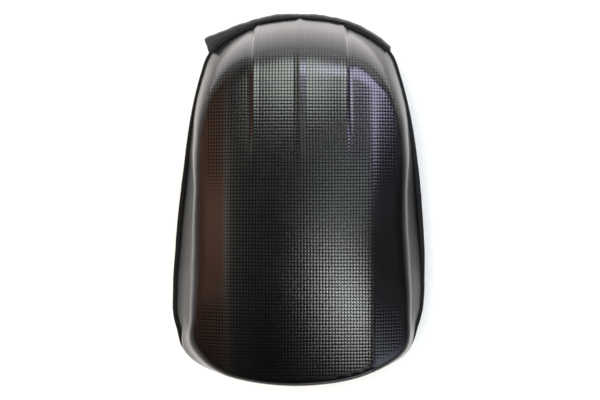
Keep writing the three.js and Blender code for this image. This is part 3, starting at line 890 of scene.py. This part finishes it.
EDGE_STEPS = 720
EDGE_STEP = 2.0
BINDING_IN = -2.5
BINDING_OUT = 3.6
BINDING_FACETS = 16
BINDING_PUCKER = 0.12
BINDING_STITCH_ANGLE = math.radians(-38)
TAPE_IN = 0.3
TAPE_FACE = 1.9
TAPE_PROFILE = [(0, 1.5), (0.06, 1.9), (0.25, 1.9), (0.28, 2.3), (0.32, 2.3), (0.35, 1.7)]
TOOTH_PITCH = 1.7
TOOTH_HALF = 2.4
TOOTH_ROOT = 2.0
TOOTH_RADIUS = 0.6
TOOTH_ARCH = 2.2
GUSSET_WALL = 2
GUSSET_BULGE = 4.5
GUSSET_LEVELS = 10
GUSSET_CREASE = 1.3
GUSSET_WAVES = {"counts": (31, 53, 88), "seed": 5}
GUSSET_WAVE_TURN = 2.4
SEAM_ALLOWANCE = 2.2
HINGE_LEVELS = 8
HINGE_SAG = 0.5
HINGE_WAVES = {"counts": (2, 5), "seed": 3}
HINGE_STITCH_OUT = TAPE_FACE + 0.6

HINGE_LOW, HINGE_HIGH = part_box("hinge_band")
HINGE_START = seam.distance_at_x(HINGE_HIGH.x / MM, False)
HINGE_END = seam.distance_at_x(HINGE_LOW.x / MM, False)


def seam_run(start, end, step):
    """Stations from one distance along the seam to another, clockwise."""
    return seam.at(np.linspace(start, end, round((end - start) / step) + 1))


def ripple(distance, length, counts, seed, turn=0.0):
    """Waves along a run, each a whole number in its length and with a phase of its own."""
    phases = np.random.default_rng(seed).uniform(0, math.tau, len(counts))
    waves = [np.sin(math.tau * n * distance / length + phase + turn) for n, phase in zip(counts, phases)]
    return sum(waves) / len(counts)


def add_stitches(name, stitches, slot):
    return add_piece(name, join_meshes(name, stitches), THREAD, slot)


def add_binding():
    stations = seam.ring(EDGE_STEPS)
    inner = BINDING_IN - np.maximum(0, stations["inset"])
    middle, half = (inner + BINDING_OUT) / 2, (BINDING_OUT - inner) / 2
    half_height = (BINDING_TOP - BINDING_Z) / 2
    pucker = BINDING_PUCKER * np.cos(stations["distance"] * math.tau / (STITCH_LENGTH + STITCH_GAP))
    sections = []
    for angle in np.arange(BINDING_FACETS) * math.tau / BINDING_FACETS:
        out = middle + half * math.cos(angle) + pucker * max(0, math.cos(angle))
        sections.append(edge_points(stations, out, BINDING_Z + half_height * (1 + math.sin(angle))))
    mesh = tube_mesh("binding", np.stack(sections, axis=1), stations["distance"], True)
    add_piece("binding", mesh, BINDING_TAPE, "binding", "rim_binding")
    out = middle + half * math.cos(BINDING_STITCH_ANGLE)
    z = BINDING_Z + half_height * (1 + math.sin(BINDING_STITCH_ANGLE))
    add_stitches("binding_stitches", seam_stitches(stations, out, z, True), "binding")


def add_zip():
    stations = seam_run(HINGE_END, HINGE_START + seam.length, EDGE_STEP)
    height = ZIP_TOP - ZIP_Z
    half = [(ZIP_Z + height * share, TAPE_IN, face) for share, face in TAPE_PROFILE]
    levels = half + [(ZIP_Z + ZIP_TOP - z, back, face) for z, back, face in reversed(half)]
    mesh = tube_mesh("zip_tape", band_sections(stations, levels), stations["distance"], False)
    add_piece("zip_tape", mesh, ZIP_TAPE, "zip", "zip_band")

    teeth = seam_run(HINGE_END + TOOTH_PITCH, HINGE_START + seam.length - TOOTH_PITCH, TOOTH_PITCH)
    middle = (ZIP_Z + ZIP_TOP) / 2
    odd = np.arange(len(teeth["tuck"])) % 2
    low = edge_points(teeth, TOOTH_ROOT, middle - TOOTH_HALF + odd * TOOTH_HALF / 2)
    high = edge_points(teeth, TOOTH_ROOT, middle + TOOTH_HALF / 2 + odd * TOOTH_HALF / 2)
    lifts = np.column_stack([teeth["out"], np.zeros(len(low))])
    arches = [thread(*ends, TOOTH_RADIUS, lift, TOOTH_ARCH) for *ends, lift in zip(low, high, lifts)]
    add_piece("zip_teeth", join_meshes("zip_teeth", arches), COIL, "zip")


def add_hinge():
    stations = seam_run(HINGE_START + GAP, HINGE_END - GAP, EDGE_STEP)
    distance = stations["distance"]
    run = distance[-1] - distance[0]
    levels = []
    waves = ripple(distance - distance[0], run, **HINGE_WAVES)
    for share in np.linspace(0, 1, HINGE_LEVELS):
        sag = HINGE_SAG * math.sin(math.pi * share) * (1 + waves)
        levels.append((ZIP_Z + (ZIP_TOP - ZIP_Z) * share, TAPE_IN + sag, TAPE_FACE + sag))
    mesh = tube_mesh("hinge", band_sections(stations, levels), distance, False)
    hinge = add_piece("hinge", mesh, CLOTH, "cloth", "hinge_band")
    rows = [
        stitch
        for z in (ZIP_Z + SEAM_ALLOWANCE, ZIP_TOP - SEAM_ALLOWANCE)
        for stitch in seam_stitches(stations, HINGE_STITCH_OUT, z, False)
    ]
    stitches = add_stitches("hinge_stitches", rows, "cloth")


def add_gusset():
    stations = seam.ring(EDGE_STEPS)
    height = GUSSET_TOP - GUSSET_Z

    def back(share):
        swell = math.sin(math.pi * share)
        waves = ripple(stations["distance"], seam.length, **GUSSET_WAVES, turn=GUSSET_WAVE_TURN * share)
        return swell * (GUSSET_BULGE - GUSSET_CREASE / 2 + GUSSET_CREASE * waves)

    shares = np.linspace(0, 1, GUSSET_LEVELS)
    levels = [(GUSSET_Z + height * share, back(share), back(share) + GUSSET_WALL) for share in shares]
    mesh = tube_mesh("gusset_wall", band_sections(stations, levels), stations["distance"], True)
    gusset = add_piece("gusset_wall", mesh, CLOTH, "cloth", "gusset")
    allowance = SEAM_ALLOWANCE / height
    rows = [
        stitch
        for share in (allowance, 1 - allowance)
        for stitch in seam_stitches(stations, back(share) + GUSSET_WALL, GUSSET_Z + height * share, True)
    ]
    stitches = add_stitches("gusset_stitches", rows, "cloth")
    width = distances([(back(share).mean(), height * share) for share in shares])[-1]


# Top flap: its lip leans out from the seam by a table of places across the bag

FLAP_ENDS = (-112.5, 112)
FLAP_SLANT = (7, 3)
FLAP_STEPS = 180
FLAP_THICKNESS = 1.8
FLAP_HEM = 6
FLAP_HEM_EXTRA = 0.9
FLAP_ROOT = {"z": ZIP_Z + GAP, "back": TAPE_FACE + GAP}
FLAP_KNEE = {"z": ZIP_Z + GAP + 5, "back": 4.4}
FLAP_LIP_Z = ZIP_Z + GAP + 21
FLAP_BEND_Z = FLAP_ROOT["z"] + 2.5
FLAP_HEM_Z = FLAP_LIP_Z - FLAP_HEM
FLAP_HEM_STEP = 0.7
FLAP_LIP_ROUND = 0.9
FLAP_STITCH_Z = FLAP_HEM_Z + 1.2
FLAP_LEVELS = 6
FLAP_WAVE = 0.5
FLAP_WAVES = {"counts": (5, 9, 16), "seed": 8}
FLAP_JOIN = {"x": 1, "half_width": 1.6, "depth": 0.8}


def flap_back(z):
    """Stations along the flap at a height, and how far out its back lies there."""
    start, end = (seam.distance_at_x(x, True) for x in FLAP_ENDS)
    share = max(0, (z - FLAP_KNEE["z"]) / (FLAP_LIP_Z - FLAP_KNEE["z"]))
    slants = [slant * share for slant in FLAP_SLANT]
    along = np.linspace(start - seam.length + slants[0], end - slants[1], FLAP_STEPS)
    stations = seam.at(along)
    waves = ripple(np.arange(FLAP_STEPS), FLAP_STEPS, **FLAP_WAVES)
    lean = look_up(FLAP_LEAN, stations["rim"][:, 0]) + FLAP_WAVE * waves
    root = np.interp(z, (FLAP_ROOT["z"], FLAP_KNEE["z"]), (FLAP_ROOT["back"], FLAP_KNEE["back"]))
    return stations, root + (lean - FLAP_KNEE["back"]) * share


def add_flap():
    heights = [FLAP_ROOT["z"], FLAP_BEND_Z, *np.linspace(FLAP_KNEE["z"], FLAP_HEM_Z, FLAP_LEVELS)]
    heights += [FLAP_HEM_Z + FLAP_HEM_STEP, FLAP_LIP_Z - FLAP_HEM / 2]
    heights += [FLAP_LIP_Z - FLAP_LIP_ROUND, FLAP_LIP_Z]
    backs, faces = [], []
    for z in heights:
        stations, back = flap_back(z)
        from_join = (stations["rim"][:, 0] - FLAP_JOIN["x"]) / FLAP_JOIN["half_width"]
        join = FLAP_JOIN["depth"] * np.exp(-(from_join**2))
        extra = FLAP_HEM_EXTRA * (FLAP_HEM_Z < z < FLAP_LIP_Z)
        level = z - join * (z == FLAP_LIP_Z)
        backs.append(edge_points(stations, back - extra / 2 + join / 2, level))
        faces.append(edge_points(stations, back + FLAP_THICKNESS + extra - join, level))
    sections = np.stack(backs + faces[::-1], axis=1)
    distance = stations["distance"]
    flap = add_piece("flap", tube_mesh("flap", sections, distance, False), FLAP_CLOTH, "cloth", "top_flap")
    stations, back = flap_back(FLAP_STITCH_Z)
    rows = seam_stitches(stations, back + FLAP_THICKNESS + FLAP_HEM_EXTRA, FLAP_STITCH_Z, False)
    rows += seam_stitches(stations, back - FLAP_HEM_EXTRA / 2, FLAP_STITCH_Z, False)
    stitches = add_stitches("flap_stitches", rows, "cloth")


# Padded back: sewn channels between pads, on the wearer's side

BACK_RINGS = 84
BACK_STEPS = 360
BACK_EDGE_ROUND = 4
BACK_TOP_SHARES = (0.3, 0.7)
ROUND_TURNS = np.radians((22, 45, 68))
CHANNEL_X = (-50, 50)
CHANNEL_Y = (-175, -105, -35, 35, 105, 175)
CHANNEL_DEPTH = 3.6
CHANNEL_HALF_WIDTH = 5
CHANNEL_NEAR = 8
PAD_EDGE = 12


def channel_depth(x, y):
    """How deep the sewn channels press into the wearer's side of the back."""
    depth = np.zeros(np.shape(x))
    for place, lines in ((x, CHANNEL_X), (y, CHANNEL_Y)):
        for line in lines:
            depth = np.maximum(depth, np.exp(-(((place - line) / CHANNEL_HALF_WIDTH) ** 2)))
    return CHANNEL_DEPTH * depth


def add_back():
    stations = seam.ring(BACK_STEPS)
    edge = GUSSET_WALL
    spokes = edge_points(stations, edge - BACK_EDGE_ROUND, BACK_Z)[:, :2] - HUB
    rows = []
    for share in BACK_TOP_SHARES:
        flat = HUB + spokes * share
        rows.append(np.column_stack([flat, np.full(BACK_STEPS, BACK_TOP)]))
    rows.append(edge_points(stations, edge - BACK_EDGE_ROUND / 2, BACK_TOP))
    rows.append(edge_points(stations, edge, BACK_TOP - BACK_EDGE_ROUND / 4))
    for angle in (0, *ROUND_TURNS):
        out = edge - BACK_EDGE_ROUND * (1 - math.cos(angle))
        rows.append(edge_points(stations, out, BACK_Z + BACK_EDGE_ROUND * (1 - math.sin(angle))))
    for share in np.linspace(1, 0, BACK_RINGS + 1)[:-1]:
        flat = HUB + spokes * share
        inward = np.linalg.norm(spokes, axis=1) * (1 - share)
        depth = channel_depth(*flat.T) * smooth_step(0, PAD_EDGE, inward)
        rows.append(np.column_stack([flat, BACK_Z + depth]))
    points = np.concatenate(rows)
    points = np.vstack([points, [(*HUB, BACK_TOP), (*HUB, BACK_Z + channel_depth(*HUB))]])
    faces, _, _ = ring_faces(len(rows), BACK_STEPS)
    for ring, pole in ((0, len(points) - 2), ((len(rows) - 1) * BACK_STEPS, len(points) - 1)):
        faces += [[ring + i, ring + (i + 1) % BACK_STEPS, pole] for i in range(BACK_STEPS)]
    uvs = np.concatenate([points[face][:, :2] * MM for face in faces])
    mesh = make_mesh("back_padding", points, faces, uvs)
    back = add_piece("back_padding", mesh, PADDING, "padding", "back_panel")
    add_stitches("back_stitches", back_stitches(), "padding")


def back_stitches():
    """Stitches along the bottom of each channel, as far as the pads reach."""
    rim = seam.ring(BACK_STEPS)["seam"]
    rows = []
    lines = [(x, 0) for x in CHANNEL_X] + [(y, 1) for y in CHANNEL_Y]
    for line, axis in lines:
        near = np.abs(rim[:, axis] - line) < CHANNEL_NEAR
        along = rim[near, 1 - axis]
        places = np.arange(along.min() + PAD_EDGE, along.max() - PAD_EDGE, EDGE_STEP)
        spot = np.empty((len(places), 2))
        spot[:, axis] = line
        spot[:, 1 - axis] = places
        rows += stitch_row(np.column_stack([spot, BACK_Z + channel_depth(*spot.T)]), DOWN)
    return rows


# Shoulder straps: the path of the right one, and its (share, half width, low, high) sections

STRAP_PATH = [(46, 176), (56, 128), (76, 58), (88, -12), (94, -82)]
STRAP_SECTIONS = [
    (0, 24, 5, 11),
    (0.06, 27, 0.8, 11),
    (0.18, 31, 0, 11),
    (0.55, 33, 0, 11),
    (0.8, 29, 0, 11),
    (0.9, 24, 0.8, 10.6),
    (0.94, 19, 3.6, 9.2),
    (1, 17, 3.7, 9.1),
]
STRAP_STEPS = 96
STRAP_ROUND_SHARE = 1 / 3
STRAP_SEAM = 7
STRAP_SEAM_DEPTH = 0.9
STRAP_SEAM_HALF_WIDTH = 1.6
STRAP_SEAM_END = 0.9
WEB_WIDTH = 25
WEB_THICKNESS = 1.5
WEB_BEND = 3.1
WEB_MID_Z = 6.4
WEB_LENGTH = 92
WEB_TAIL = 58
TAB_LENGTH = 22
TOP_BAR = 7
MIDDLE_BAR = 18
FOLD_STEPS = 17
RIBBON_STEPS = 25
TAB_TACK = (TOP_BAR - TAB_LENGTH + 2, TOP_BAR - 9)
TACK_MARGIN = 3
TACK_LEVEL = -WEB_BEND - WEB_THICKNESS * 0.9
TACK_POINTS = 12
BUCKLE_EDGE = {"width": 0.8, "segments": 3}
WELD_DISTANCE = 0.01
WEB_PROFILE = [(0.5, -0.3), (0.5, 0.3), (0.47, 0.5), (0.43, 0.5), (0.39, 0.4), (0, 0.4)]


def strap_line(side):
    """Even stations along the middle of a strap and their directions."""
    spots, directions = catmull_rom(np.array(STRAP_PATH) * (side, 1), False, CURVE_STEPS)
    distance = distances(spots)
    places = np.linspace(0, distance[-1], STRAP_STEPS + 1)
    columns = [np.interp(places, distance, c) for c in np.hstack([spots, directions]).T]
    spots, directions = np.stack(columns[:2], axis=1), np.stack(columns[2:], axis=1)
    return spots, directions / np.linalg.norm(directions, axis=1)[:, None], places


def strap_section(half, low, high):
    """Closed section of a pad as (across, z), with a sewn line along each edge of both faces."""
    corner = (high - low) * STRAP_ROUND_SHARE
    seam_at = half - STRAP_SEAM
    near = STRAP_SEAM_HALF_WIDTH
    places = [corner - half, -seam_at - near, -seam_at, near - seam_at, -seam_at / 2, 0]
    places += [-place for place in reversed(places[:-1])]
    dips = [STRAP_SEAM_DEPTH if math.isclose(abs(place), seam_at) else 0 for place in places]
    top = [(place, high - dip) for place, dip in zip(places, dips)]
    round_off = [(half - corner * (1 - math.cos(t)), corner * (1 - math.sin(t))) for t in ROUND_TURNS]
    right = [(across, high - drop) for across, drop in reversed(round_off)]
    right += [(half, high - corner), (half, low + corner)]
    right += [(across, low + drop) for across, drop in round_off]
    bottom = [(place, low + dip) for place, dip in zip(reversed(places), dips)]
    left = [(-across, z) for across, z in reversed(right)]
    return np.array(top + right + bottom + left)


def add_strap_pad(side, name):
    spots, directions, places = strap_line(side)
    across = np.column_stack([directions[:, 1], -directions[:, 0]])
    shares = places / places[-1]
    half, low, high = look_up_columns(STRAP_SECTIONS, shares)
    sections = []
    for spot, sideways, *sizes in zip(spots, across, half, low, high):
        section = strap_section(*sizes)
        sections.append(np.column_stack([spot + sideways * section[:, :1], section[:, 1]]))
    mesh = tube_mesh(f"strap_{name}", np.stack(sections), places, False)
    pad = add_piece(f"strap_{name}", mesh, PADDING, "padding", f"strap_pad_{name}")
    sewn = (shares > 1 - STRAP_SEAM_END) & (shares < STRAP_SEAM_END)
    rows = []
    for edge in (-1, 1):
        line = spots + across * (edge * (half - STRAP_SEAM))[:, None]
        line = np.column_stack([line, low + STRAP_SEAM_DEPTH])[sewn]
        rows += stitch_row(line, DOWN)
    add_stitches(f"strap_stitches_{name}", rows, "padding")
    return spots[-1], directions[-1]


def folded_path(bar, direction, upper, lower):
    """Middle line of a ribbon folded round a bar, as (along, up), and the way that its outer face looks."""
    bend = WEB_BEND + WEB_THICKNESS / 2
    turns = np.linspace(math.pi / 2, -math.pi / 2, FOLD_STEPS)
    leave = np.linspace(upper, 0, RIBBON_STEPS)[:-1]
    arrive = np.linspace(0, lower, RIBBON_STEPS)[1:]
    path = [(bar + direction * reach, bend) for reach in leave]
    path += [(bar - direction * bend * math.cos(t), bend * math.sin(t)) for t in turns]
    path += [(bar + direction * reach, -bend) for reach in arrive]
    looks = [(0, 1)] * len(leave)
    looks += [(-direction * math.cos(t), math.sin(t)) for t in turns]
    looks += [(0, -1)] * len(arrive)
    return np.array(path), np.array(looks)


def add_ribbon(name, node, end, direction, fold):
    """Webbing with a thicker selvage along both edges, laid along the direction of a strap's end."""
    path, looks = folded_path(*fold)
    along = np.array((*direction, 0.0))
    sideways = np.array((-direction[1], direction[0], 0.0))
    origin = np.array((*end, WEB_MID_Z))
    half = WEB_PROFILE + [(-across, lift) for across, lift in reversed(WEB_PROFILE[:-1])]
    profile = half + [(across, -lift) for across, lift in reversed(half[1:-1])]
    sections = []
    for place, look in zip(path, looks):
        middle = origin + along * place[0] + UP * place[1]
        face = along * look[0] + UP * look[1]
        sections.append([middle + sideways * WEB_WIDTH * a + face * WEB_THICKNESS * b for a, b in profile])
    distance = distances(path)
    mesh = tube_mesh(name, np.array(sections), distance, False)
    ribbon = add_piece(name, mesh, WEBBING, "webbing", node)
    return origin, along, sideways


def add_tack(name, origin, along, sideways, near, far):
    """Box of stitches with a cross in it on the lower face of a ribbon."""
    inset = WEB_WIDTH / 2 - TACK_MARGIN
    corners = [(near, -inset), (far, -inset), (far, inset), (near, inset)]
    routes = [(0, 1), (1, 2), (2, 3), (3, 0), (0, 2), (1, 3)]
    rows = []
    for first, last in routes:
        ends = [origin + along * u + sideways * v for u, v in (corners[first], corners[last])]
        rows += stitch_row(np.linspace(*ends, TACK_POINTS) + UP * TACK_LEVEL, DOWN)
    add_stitches(name, rows, "webbing")


def round_edges(piece, width, segments):
    bevel = piece.modifiers.new("bevel", "BEVEL")
    bevel.width = width * MM
    bevel.segments = segments
    bevel.limit_method = "ANGLE"
    piece.modifiers.new("normals", "WEIGHTED_NORMAL")


def dress_buckle(node):
    """Rounds the edges of a buckle's solid and gives it its plastic."""
    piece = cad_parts[node]
    weld = piece.modifiers.new("weld", "WELD")
    weld.merge_threshold = WELD_DISTANCE * MM
    round_edges(piece, **BUCKLE_EDGE)
    for place in piece.material_slots:
        place.link = "OBJECT"
        place.material = PLASTIC


def add_strap(side, name):
    end, direction = add_strap_pad(side, name)
    pad, buckle = f"strap_{name}", f"strap_buckle_{name}"
    fold = (TOP_BAR, -1, TAB_LENGTH, TAB_LENGTH)
    tab = add_ribbon(f"tab_{name}", f"strap_tab_{name}", end, direction, fold)
    fold = (MIDDLE_BAR, 1, WEB_LENGTH, WEB_TAIL)
    add_ribbon(f"web_{name}", f"strap_web_{name}", end, direction, fold)
    add_tack(f"tab_stitches_{name}", *tab, *TAB_TACK)
    dress_buckle(buckle)


# Zip slider: a shield-shaped body, a bridge over it and a pull that hangs from the bridge

SLIDER_REAR = 7
SLIDER_BODY = {"low": 4.6, "high": 6.2}
SLIDER_HALF = [(-7, -3.6), (-6, -4.5), (4, -3.9), (6, -3.3), (7, -2.2)]
SLIDER_OUTLINE = SLIDER_HALF + [(u, -v) for u, v in reversed(SLIDER_HALF)]
SLIDER_EDGE = {"width": 0.35, "segments": 2}
BRIDGE = {"half_length": 4.5, "radius": 0.8, "root": 6.0, "arch": 1.4}
PULL = {"low": 6.4, "high": 7.6, "start": 2.4, "end": 22, "half_width": 2.5, "hole": 1.2}
HOLE_MARGINS = (1.4, 7.0)
PULL_TURNS = 7


def prism(outline, low, high):
    """Closed solid of an outline between two levels."""
    count = len(outline)
    points = np.array([(u, v, w) for w in (low, high) for u, v in outline])
    faces = [[i, (i + 1) % count, count + (i + 1) % count, count + i] for i in range(count)]
    return points, faces + [list(range(count)), list(range(count, 2 * count))]


def ring_prism(outer, inner, low, high):
    """Closed solid between two outlines of as many points, one round the other."""
    count = len(outer)
    loops = [(outer, low), (outer, high), (inner, high), (inner, low)]
    points = np.array([(u, v, w) for loop, w in loops for u, v in loop])
    return points, ring_faces(len(loops), count, True)[0]


def pull_outlines():
    """Outlines of the pull: its rounded tab, and the long hole that the bridge passes through."""
    turns = np.linspace(-math.pi / 2, math.pi / 2, PULL_TURNS)
    outlines = []
    for half, near, far in ((PULL["half_width"], 0, 0), (PULL["hole"], *HOLE_MARGINS)):
        start, end = PULL["start"] + half + near, PULL["end"] - half - far
        outline = [(end + half * math.cos(t), half * math.sin(t)) for t in turns]
        outline += [(start - half * math.cos(t), -half * math.sin(t)) for t in turns]
        outlines.append(outline)
    return outlines


def add_slider():
    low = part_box("zip_slider")[0]
    seat = seam.at(np.array([seam.distance_at_x(low.x / MM + SLIDER_REAR, False)]))
    out = np.array((*seat["out"][0], 0.0))
    along = np.cross(UP, out)
    origin = edge_points(seat, 0, (ZIP_Z + ZIP_TOP) / 2)[0]
    half, root = BRIDGE["half_length"], BRIDGE["root"]
    ends = [np.array((u, 0.0, root)) for u in (-half, half)]
    parts = [prism(SLIDER_OUTLINE, SLIDER_BODY["low"], SLIDER_BODY["high"])]
    parts.append(ring_prism(*pull_outlines(), PULL["low"], PULL["high"]))
    parts.append(thread(*ends, BRIDGE["radius"], UP, BRIDGE["arch"]))
    placed = [(origin + p @ np.stack([along, UP, out]), faces) for p, faces in parts]
    slider = add_piece("slider", join_meshes("slider", placed), PLASTIC, "fitting", "zip_slider")
    round_edges(slider, **SLIDER_EDGE)


# Camera, light and floor

CAMERA_HEIGHT = 1350
CAMERA_Y = -3.6
FOCAL_PIXELS = 1013.8
IMAGE_WIDTH = 600
SENSOR_WIDTH = 36
FLOOR_HALF = 6000
FLOOR_Z = -0.2

# Soft lights: place, target and size in metres, and radiance (red, green, blue)
FILL = ((0, 0, 3.2), (0, 0, 0), (3.0, 3.0), (4.6, 4.8, 4.75))
LIGHTS = {
    "window": ((0, 1.09, 1.37), (0, 0.13, 0.15), (0.7, 1.2), (20.5, 22, 20.5)),
    "window_low": ((0, 1.67, 0.86), (0, 0.13, 0.15), (0.7, 0.35), (12, 13, 12)),
    "window_right": ((1.1, 1.36, 1.56), (0, 0.1, 0.16), (1.7, 1.3), (20.5, 20, 27.5)),
    "lamp": ((0.65, -0.58, 2.5), (0.05, -0.09, 0.16), (0.32, 0.9), (40, 42, 40)),
    "strip": ((0.64, 0.25, 2.5), (0.05, 0.02, 0.16), (0.42, 1.1), (6.5, 7, 7)),
    "corner": ((1.45, -1.0, 1.3), (0.1, -0.19, 0.12), (0.6, 0.9), (5.5, 5.8, 7.2)),
    "sill": ((0.6, -2.0, 0.75), (0.1, -0.2, 0.12), (1.2, 0.35), (9, 9.4, 11.5)),
    "card": ((0, 1.25, 0.003), (0, 1.25, 1), (1.5, 1.95), (2.7, 2.6, 2.6)),
    "backdrop": ((0.8, 2.3, 0.5), (0.1, 0.1, 0.2), (3.0, 0.9), (3.0, 2.9, 3.2)),
}

# Room, as (place, colour) from left to right, from the bag's bottom end to its top end and upwards
BROWN, PALE, DIM = (1.2, 0.58, 0.38), (1.7, 1.65, 1.4), (0.55, 0.53, 0.47)
DARK, DUSK = (0.018, 0.016, 0.017), (0.11, 0.1, 0.11)
ROOM_SIDES = [(0.16, BROWN), (0.23, PALE), (0.33, DIM), (0.4, DARK), (0.62, DARK), (0.8, DUSK)]
ROOM_ENDS = [(0.36, (0.12,)), (0.5, (1,)), (0.56, (1,)), (0.7, (0.5,))]
ROOM_HORIZON = [(0.12, (1,)), (0.4, (0,))]
ROOM_STRENGTH = 2.4


def add_camera():
    data = bpy.data.cameras.new("camera")
    data.sensor_width = SENSOR_WIDTH
    data.lens = data.sensor_width * FOCAL_PIXELS / IMAGE_WIDTH
    camera = bpy.data.objects.new("camera", data)
    camera.location = (0, CAMERA_Y * MM, CAMERA_HEIGHT * MM)
    bpy.context.scene.collection.objects.link(camera)
    bpy.context.scene.camera = camera


def add_floor():
    shader = Shader("pale_floor", 0.9)
    cloud = shader.noise(shader.place(), 3.0, 2.0)
    shader.set(Base_Color=shader.ramp(cloud, (0.3, (0.89,)), (0.7, (0.91,))))
    signs = ((-1, -1), (1, -1), (1, 1), (-1, 1))
    corners = [(u * FLOOR_HALF, v * FLOOR_HALF, FLOOR_Z) for u, v in signs]
    add_object("floor", make_mesh("floor", corners, [(0, 1, 2, 3)]), shader.material)


def add_area_light(name, place, target, size, radiance, glossy=True):
    """Rectangular soft light of an even radiance (red, green, blue), from a place towards a target."""
    light = bpy.data.lights.new(name, "AREA")
    light.shape = "RECTANGLE"
    light.size, light.size_y = size
    strength = max(radiance)
    light.color = [value / strength for value in radiance]
    light.energy = strength * math.pi * size[0] * size[1]
    holder = bpy.data.objects.new(name, light)
    holder.location = place
    holder.rotation_euler = (Vector(target) - Vector(place)).to_track_quat("-Z", "Y").to_euler()
    holder.visible_glossy = glossy
    holder.visible_diffuse = not glossy
    holder.visible_camera = False
    bpy.context.scene.collection.objects.link(holder)


def add_world():
    """Soft room: bright near the horizon, brown to the left, dark to the right and overhead."""
    world = bpy.data.worlds.new("room")
    world.use_nodes = True
    bpy.context.scene.world = world
    tree = Nodes(world.node_tree)
    direction = tree.add("ShaderNodeTexCoord").outputs["Generated"]
    split = tree.feed(tree.add("ShaderNodeSeparateXYZ"), Vector=direction)
    across, lengthways = (tree.math("MULTIPLY_ADD", split.outputs[axis], 0.5, 0.5) for axis in "XY")
    sides = tree.ramp(across, *ROOM_SIDES)
    ends = tree.ramp(lengthways, *ROOM_ENDS)
    horizon = tree.ramp(split.outputs["Z"], *ROOM_HORIZON)
    room = tree.add("ShaderNodeMix", data_type="RGBA", blend_type="MULTIPLY")
    tree.feed(room, Factor=1, A=sides, B=ends)
    mix = tree.add("ShaderNodeMix", data_type="RGBA")
    tree.feed(mix, Factor=horizon, A=room.outputs["Result"], B=(1, 1, 1, 1))
    background = tree.add("ShaderNodeBackground")
    tree.feed(background, Strength=ROOM_STRENGTH, Color=mix.outputs["Result"])
    tree.feed(tree.add("ShaderNodeOutputWorld"), Surface=background.outputs["Background"])


def add_lights():
    add_area_light("fill", *FILL, glossy=False)
    for name, light in LIGHTS.items():
        add_area_light(name, *light)


bpy.context.scene.view_settings.view_transform = "Standard"
add_camera()
add_floor()
add_world()
add_lights()
add_shell()
add_binding()
add_zip()
add_slider()
add_gusset()
add_hinge()
add_flap()
add_back()
add_strap(-1, "left")
add_strap(1, "right")
